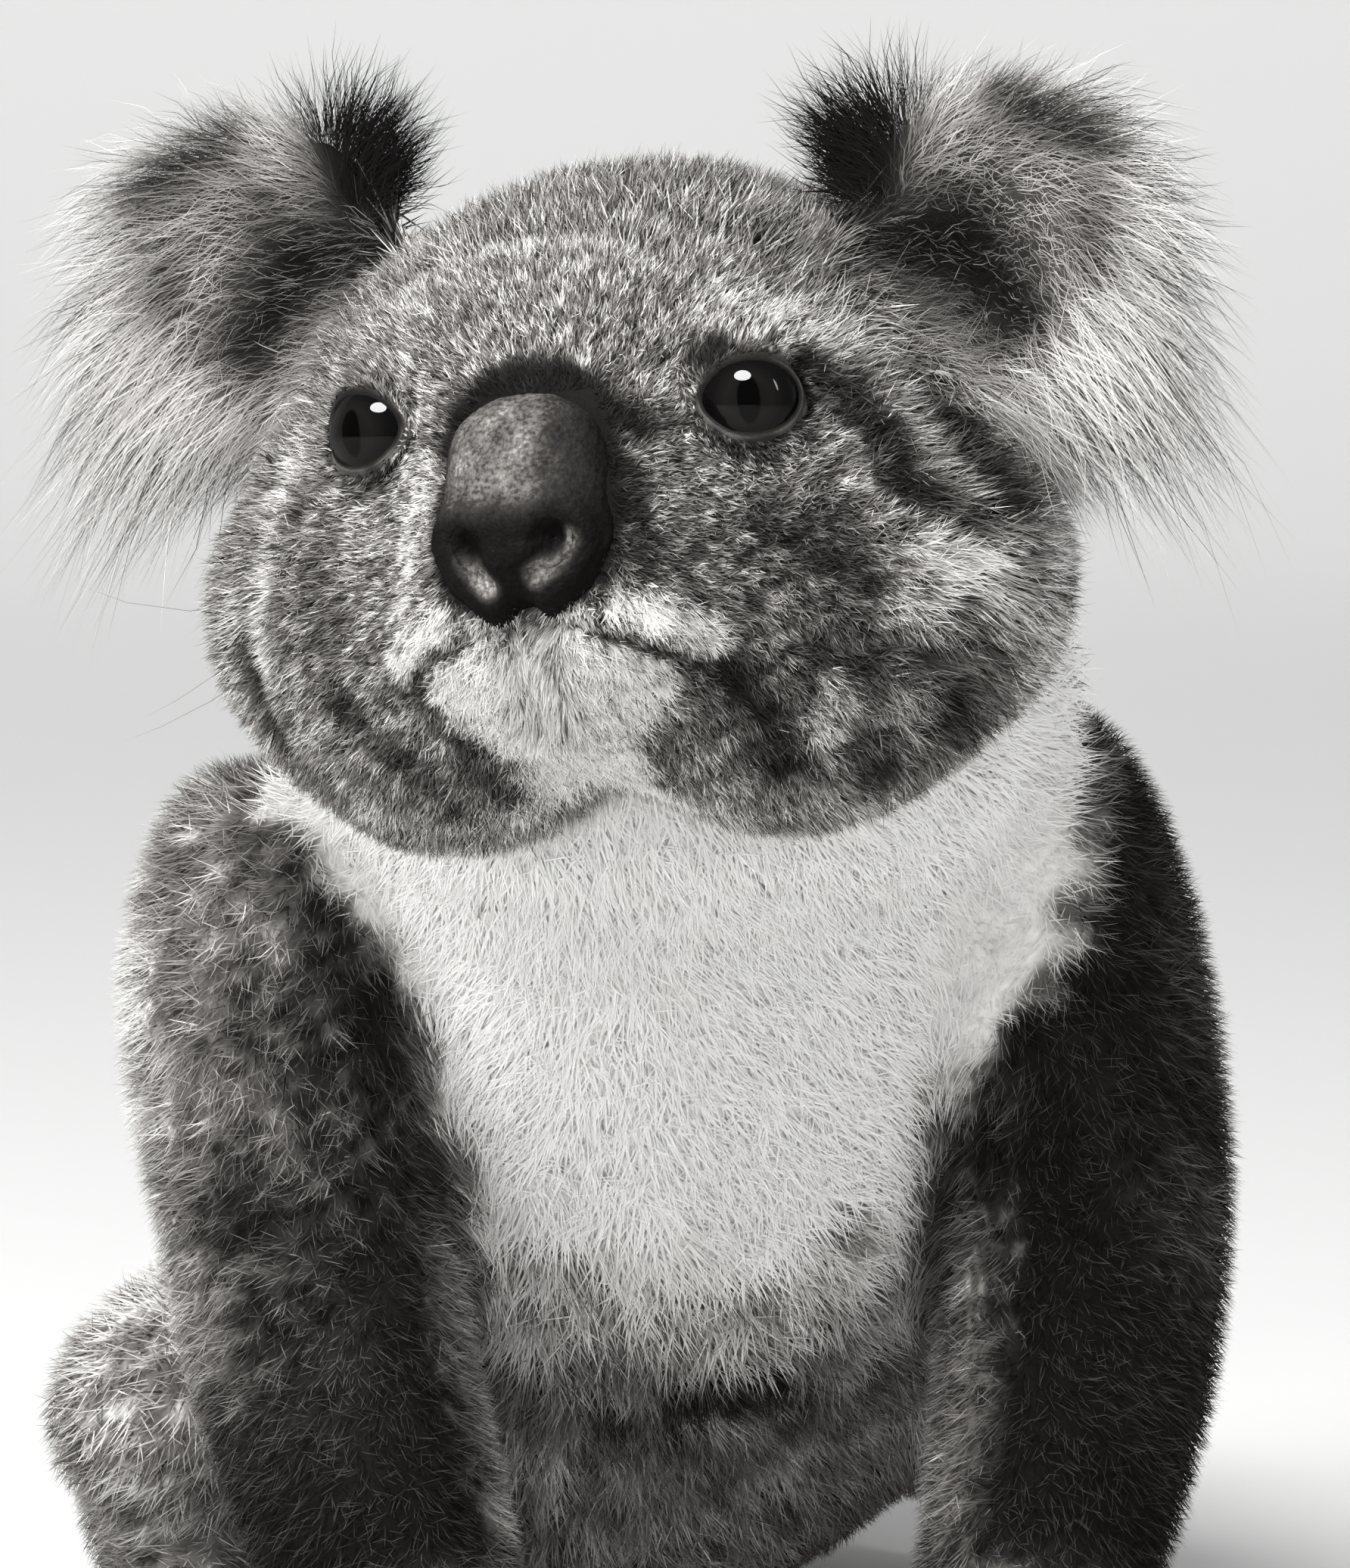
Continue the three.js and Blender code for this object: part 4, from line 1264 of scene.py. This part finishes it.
# %% [markdown]
# ## Whiskers
# A few long, thin hairs stand out from the muzzle, the cheeks and above the eyes.

# %% Whiskers
WHISKERS = [  # root and tip in head millimetres, how far the middle sags
    ((-60, -38, -16), (-104, -40, -12), 5),
    ((-62, -36, -28), (-98, -36, -44), 2),
    ((-52, -36, 24), (-70, -46, 32), 1),
    ((-30, -57, -20), (-44, -64, -34), 1),
    ((28, -58, -24), (45, -66, -38), 1),
    ((24, -60, -20), (40, -66, -30), 1),
    ((26, -57, -36), (44, -62, -52), 1),
    ((-58, -39, -20), (-92, -40, -40), 2),
    ((33, -56, -16), (58, -66, -22), 1),
]
WHISKER_GIRTH = [0.22, 0.18, 0.12]  # mm at its three rings
WHISKER_TONE = 0.12
ends = from_head(np.array([(root, tip) for root, tip, sag in WHISKERS], float))
sags = np.array([sag for root, tip, sag in WHISKERS], float) * MM
steps = np.array([0.0, 0.2, 0.45, 0.75, 1.0])
spine = ends[:, :1] + (ends[:, 1:] - ends[:, :1]) * steps[None, :, None]
spine += DOWN * (sags[:, None] * np.sin(steps * math.pi))[..., None]
along = unit(ends[:, 1] - ends[:, 0])
across = unit(np.cross(along, [0, 0, 1.0]))
above = np.cross(across, along)
wide = np.tile(np.array(WHISKER_GIRTH) * MM, (len(WHISKERS), 1))
tone = np.full((len(WHISKERS), len(steps)), WHISKER_TONE)
root_map = np.array([corner_map[tri_loops[skin_tree.find_nearest(Vector(p))[2]][0]] for p in ends[:, 0]])
bent_tufts("coat_whiskers", spine, wide, across[:, None], above[:, None], above, tone, root_map)
print("coat triangles", sum(totals))

# %% [markdown]
# ## Eyes
# The ball is wet and nearly black: a dark brown iris that fills the opening, with an upright
# slit for a pupil. Ball and cornea are one turned shape, and the iris is drawn on it in
# millimetres from its own middle. A clear coat gives the wet gloss.

# %% The wet eyeball's finish
IRIS = 9.2  # radius in mm
IRIS_TONES = [(0.0, "0c0a0a"), (0.5, "131110"), (0.75, "090808"), (1.0, "030303")]
PUPIL_WIDE, PUPIL_TALL = 2.4, 5.0  # half the slit's width and height in mm
PUPIL_TONES = [(0.0, "030303"), (0.85, "030303"), (1.0, "ffffff")]


def wet_eyeball(name, middle, gaze):
    """A clear wet layer over a dark iris: nearly black, with one sharp glint."""
    wet, tree = material(name)
    gaze_across = unit(np.cross(gaze, [0, 0, 1.0]))
    gaze_up = np.cross(gaze_across, gaze)
    place = add(tree, "ShaderNodeTexCoord")
    spot = add(
        tree, "ShaderNodeVectorMath", {"operation": "SUBTRACT"}, i0=place.outputs["Object"], i1=tuple(middle)
    )
    axis = [tuple(unit(HEAD_TURN @ v)) for v in (gaze_across, gaze_up)]
    dot = {"operation": "DOT_PRODUCT"}
    flat = [add(tree, "ShaderNodeVectorMath", dot, i0=spot.outputs[0], i1=a) for a in axis]
    level = add(tree, "ShaderNodeCombineXYZ", X=flat[0].outputs["Value"], Y=flat[1].outputs["Value"])
    size = (1 / (PUPIL_WIDE * MM), 1 / (PUPIL_TALL * MM), 1)
    slit = add(tree, "ShaderNodeMapping", Vector=level.outputs[0], Scale=size)
    slit_out = add(tree, "ShaderNodeVectorMath", {"operation": "LENGTH"}, i0=slit.outputs[0])
    round_out = add(tree, "ShaderNodeVectorMath", {"operation": "LENGTH"}, i0=level.outputs[0])
    iris = add(tree, "ShaderNodeMath", {"operation": "DIVIDE"}, i0=round_out.outputs["Value"], i1=IRIS * MM)
    iris = stops(add(tree, "ShaderNodeValToRGB", Fac=iris.outputs[0]), IRIS_TONES)
    hole = stops(add(tree, "ShaderNodeValToRGB", Fac=slit_out.outputs["Value"]), PUPIL_TONES)
    multiply = {"data_type": "RGBA", "blend_type": "MULTIPLY"}
    both = add(tree, "ShaderNodeMix", multiply, i0=1.0, i6=iris.outputs[0], i7=hole.outputs[0])
    surface = add(
        tree, "ShaderNodeBsdfPrincipled", Base_Color=both.outputs[2], Roughness=0.5, Coat_Weight=0.32,
        Coat_IOR=1.38, Coat_Roughness=0.02, Specular_IOR_Level=0.0,
    )
    add(tree, "ShaderNodeOutputMaterial", Surface=surface.outputs[0])
    return wet


# %% Eyeballs
for side_name, sign in SIDES.items():
    middle = eye_middle[side_name]
    gaze = unit(np.array([sign * 0.30, -0.95, -0.04]))
    form = bmesh.new()
    bmesh.ops.create_uvsphere(form, u_segments=64, v_segments=40, radius=BALL * MM)
    for vert in form.verts:
        vert.co = Vector(middle) + Vector(HEAD_TURN @ np.array(vert.co))
    mesh = mesh_of(form, "eyeball_" + side_name)
    mesh.materials.append(wet_eyeball("wet_eyeball_" + side_name, middle, gaze))
    mesh.shade_smooth()
    ball = show(bpy.data.objects.new("eyeball_" + side_name, mesh))
    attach(ball, "root")
    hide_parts("eye_" + side_name)
    print(mesh.name, len(mesh.polygons))

# %% [markdown]
# ## Nose
# The nose is a long bare pad of grainy skin like fine leather, pale and dry on its bridge and
# black below, where two hooked nostrils open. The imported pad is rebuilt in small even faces, so
# that its lobes, pits and grain can be real shape.

# %% Round the pad's edge, and part its lower lobes
nose_mesh = voxelled(mesh_of(joined(["nose"]), "nose_rough"), 0.55 * MM)
nose_points, nose_tris, nose_edges = arrays(nose_mesh)
nose_points = spread(nose_points, nose_edges, 30)
nose_normal = facing(nose_points, nose_tris) @ HEAD_TURN
nose_head = to_head(nose_points)
x, y, z = nose_head.T
edge = np.maximum(ramp(np.abs(x), 9, 16) * ramp(z, -10, 2), ramp(z, 10, 22))
corner = ramp(np.abs(x), 6, 15) * ramp(z, 6, 18)
nose_head -= nose_normal * (1.3 * edge + 0.7 * corner)[:, None]
nose_head[:, 0] = x * (1.13 - 0.05 * ramp(-z, 2, 12) + 0.06 * ramp(z, 2, 10)) - 1.0
nose_head[:, 1] += 1.8 * ramp(z, 11, 22)
lobes = 2.6 * bell(np.abs(x) - 7.5, 5.5) - 2.6 * bell(x, 3.0)
nose_head[:, 2] = z - lobes * ramp(-z, 8, 24) + 2.2 * ramp(z, 8, 20)
even_pad = spread(nose_head, nose_edges, 120)
deep_in = ((even_pad - nose_head) * nose_normal).sum(1)
nose_head += nose_normal * (0.8 * np.maximum(deep_in - 0.3, 0))[:, None]
nose_head += (even_pad - nose_head) * ramp(z, 0, 11)[:, None]
print("nose points", len(nose_points))

# %% Nostrils and grain
NOSTRILS = [  # hooked paths in head millimetres
    [(-12.5, -71, -10), (-10.5, -72, -14.5), (-8.5, -72, -17.5), (-6, -71, -20.5)],
    [(8.5, -71, -9.5), (10.5, -71, -12.5), (8, -72, -16.5), (4, -72, -19)],
]
pit = np.minimum(*[from_path(nose_head, path) for path in NOSTRILS])
inside = bell(pit, 2.6) - 0.35 * bell(pit - 5, 2)
nose_head -= nose_normal * (2.0 * inside * ramp(-nose_head[:, 1], 60, 66))[:, None]
nose_points = from_head(nose_head)
nose_normal = facing(nose_points, nose_tris)
grain_height = 0.10 * waves(nose_points, 0.0024, 11, 41) + 0.07 * waves(nose_points, 0.0013, 11, 42)
nose_points += nose_normal * grain_height[:, None] * MM
store(nose_mesh.vertices, "co", nose_points)
print("grain mm", grain_height.min().round(2), grain_height.max().round(2))

# %% Lightness of the nose
# The dry, pale bridge is painted darker on the pad's left half, as painted shade on the side turned from the
# light.
dry_bridge_and_shade = 0.34 * ramp(z, -10, 0) * (1 - 0.55 * ramp(x, 2, 8)) * (1 - 0.5 * ramp(z, 12, 22))
dry_bridge_and_shade = dry_bridge_and_shade * (1 - 0.4 * ramp(np.abs(x + 2), 9, 15))
dry_bridge_and_shade *= (1 + 0.16 * waves(nose_points, 0.007, 7, 44)) * (1 - 0.75 * ramp(nose_gap(nose_head), -4, -0.5))
nose_tone = np.clip(0.02 + dry_bridge_and_shade, 0.012, 1)
wing = np.minimum(*[from_path(nose_head, path[1:]) for path in NOSTRILS])
nose_tone += (0.52 - nose_tone) * (1 - ramp(wing, 0.8, 3.6)) * ramp(-y, 60, 66)
# painted shade: deep in the nostril pits the pad is nearly black
nose_tone *= 1 - 0.95 * ramp(deep_in, 0.7, 1.5)
store(nose_mesh.attributes.new("pale", "FLOAT", "POINT").data, "value", np.clip(nose_tone, 0.012, 1))
print("nose lightness", nose_tone.max().round(2))

# %% Nose skin: keratinised and grainy, dry and mottled above, black below
pad, tree = material("grainy_nose_skin")
place = add(tree, "ShaderNodeTexCoord")
grain = add(
    tree, "ShaderNodeTexNoise", Vector=place.outputs["Object"], Scale=1000.0, Detail=2.0, Roughness=0.6
)
cells = add(tree, "ShaderNodeTexVoronoi", Vector=place.outputs["Object"], Scale=1300.0)
tint = add(tree, "ShaderNodeAttribute", {"attribute_name": "pale"})
mottled = add(tree, "ShaderNodeMapRange", Value=grain.outputs["Fac"], i1=0.34, i2=0.66, i3=0.62, i4=1.3)
level = add(
    tree, "ShaderNodeMath", {"operation": "MULTIPLY"}, i0=tint.outputs["Fac"], i1=mottled.outputs[0]
)
shade = stops(add(tree, "ShaderNodeValToRGB", Fac=level.outputs[0]), ASH)
bump = add(tree, "ShaderNodeBump", Strength=0.6, Distance=0.0003, Height=cells.outputs["Distance"])
surface = add(
    tree, "ShaderNodeBsdfPrincipled", Base_Color=shade.outputs[0], Roughness=0.55, Specular_IOR_Level=0.01,
    Normal=bump.outputs[0],
)
add(tree, "ShaderNodeOutputMaterial", Surface=surface.outputs[0])
nose_mesh.materials.append(pad)
nose_mesh.shade_smooth()
nose = show(bpy.data.objects.new("nose_pad", nose_mesh))
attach(nose, "root")
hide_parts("nose")
print("nose pad", len(nose_tris))

# %% [markdown]
# ## Claws
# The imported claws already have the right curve. A subdivision surface rounds their few faces.

# %% Horn claws: dark keratin, worn smooth, so it has a soft sheen
horn, tree = material("polished_claw_horn")
surface = add(tree, "ShaderNodeBsdfPrincipled", Base_Color=linear("1d1917"), Roughness=0.35)
add(tree, "ShaderNodeOutputMaterial", Surface=surface.outputs[0])
claws = [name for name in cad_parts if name.startswith("claw")]
for name in claws:
    mesh = mesh_of(joined([name]), "horn_" + name)
    mesh.materials.append(horn)
    mesh.shade_smooth()
    piece = show(bpy.data.objects.new("horn_" + name, mesh))
    rounder = piece.modifiers.new("rounder", "SUBSURF")
    rounder.levels = 2
    rounder.render_levels = 2
    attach(piece, "root")
    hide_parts(name)
print("claws", len(claws))

# %% [markdown]
# ## Floor and light
# A pale floor sweeps up behind the animal. A large soft lamp stands at the upper left, weaker
# ones fill from the side and the front, and a narrow one at the right rims the coat. The glint
# in the wet eyes has a lamp of its own, which lights nothing else.

# %% Paper: matt, and lit from behind towards its back
GLOW = 0.38  # lamps behind the paper even out its back
paper, tree = material("matt_backdrop_paper")
place = add(tree, "ShaderNodeTexCoord")
split = add(tree, "ShaderNodeSeparateXYZ", Vector=place.outputs["Object"])
back = add(tree, "ShaderNodeMapRange", Value=split.outputs["Y"], i1=0.4, i2=4.5, i3=0.0, i4=GLOW)
surface = add(
    tree, "ShaderNodeBsdfPrincipled", Base_Color=linear("d8d8d7"), Roughness=0.9,
    Emission_Color=linear("f4f4f3"), Emission_Strength=back.outputs[0],
)
add(tree, "ShaderNodeOutputMaterial", Surface=surface.outputs[0])
print(paper.name, len(tree.nodes), "nodes")

# %% Floor with a swept back, in metres
BEND = 1.2
FLAT_END = 3.4
turns = [math.radians(9 * step) for step in range(1, 11)]
curve = [(FLAT_END + BEND * math.sin(turn), BEND - BEND * math.cos(turn)) for turn in turns]
form = bmesh.new()
edge = [form.verts.new((-7, y, z)) for y, z in [(-6, 0), (FLAT_END, 0), *curve, (4.6, 5)]]
for start, end in zip(edge[:-1], edge[1:]):
    form.edges.new((start, end))
made = bmesh.ops.extrude_edge_only(form, edges=form.edges[:])["geom"]
far_edge = [item for item in made if isinstance(item, bmesh.types.BMVert)]
bmesh.ops.translate(form, verts=far_edge, vec=(14, 0, 0))
bmesh.ops.recalc_face_normals(form, faces=form.faces)
mesh = mesh_of(form, "floor")
mesh.materials.append(paper)
mesh.shade_smooth()
floor = show(bpy.data.objects.new("floor", mesh))
print("floor", len(mesh.polygons))

# %% Studio lamps


def lamp(name, place, size, power, tall=None, glint=True, light=True):
    """A soft lamp that faces the animal; it can show in the wet eyes, light the coat, or both."""
    data = bpy.data.lights.new(name, "AREA")
    data.shape = "ELLIPSE"
    data.size = size
    data.size_y = tall or size
    data.energy = power
    made = show(bpy.data.objects.new(name, data))
    made.location = place
    made.rotation_mode = "QUATERNION"
    made.rotation_quaternion = (Vector(place) - Vector((0, 0, 0.2))).to_track_quat("Z", "Y")
    made.visible_glossy = glint
    made.visible_diffuse = light


lamp("key", (-0.6, -1.2, 2.0), 0.9, 60, 0.7, glint=False)
lamp("catch_light", (-0.57, -1.14, 1.91), 1.1, 230, 0.8, light=False)
lamp("side", (-2.0, -0.5, 1.0), 1.0, 34, glint=False)
lamp("front", (-0.5, -2.4, 0.3), 1.4, 18, glint=False)
lamp("strip", (1.6, -1.2, 1.35), 0.16, 11, 0.8)
print("lamps", len(bpy.data.lights))

# %% Room light, and plain tones
ROOM_LIGHT = 0.42
world = bpy.data.worlds.new("studio")
scene.world = world
world.use_nodes = True
sky = world.node_tree.nodes["Background"]
sky.inputs["Color"].default_value = linear("eef0f1")
sky.inputs["Strength"].default_value = ROOM_LIGHT
scene.view_settings.view_transform = "Standard"
scene.view_settings.look = "None"
print("room light", ROOM_LIGHT)

# %% [markdown]
# ## Size
# The coat's tips should end where the solids do.

# %% Finish
bpy.context.view_layer.update()
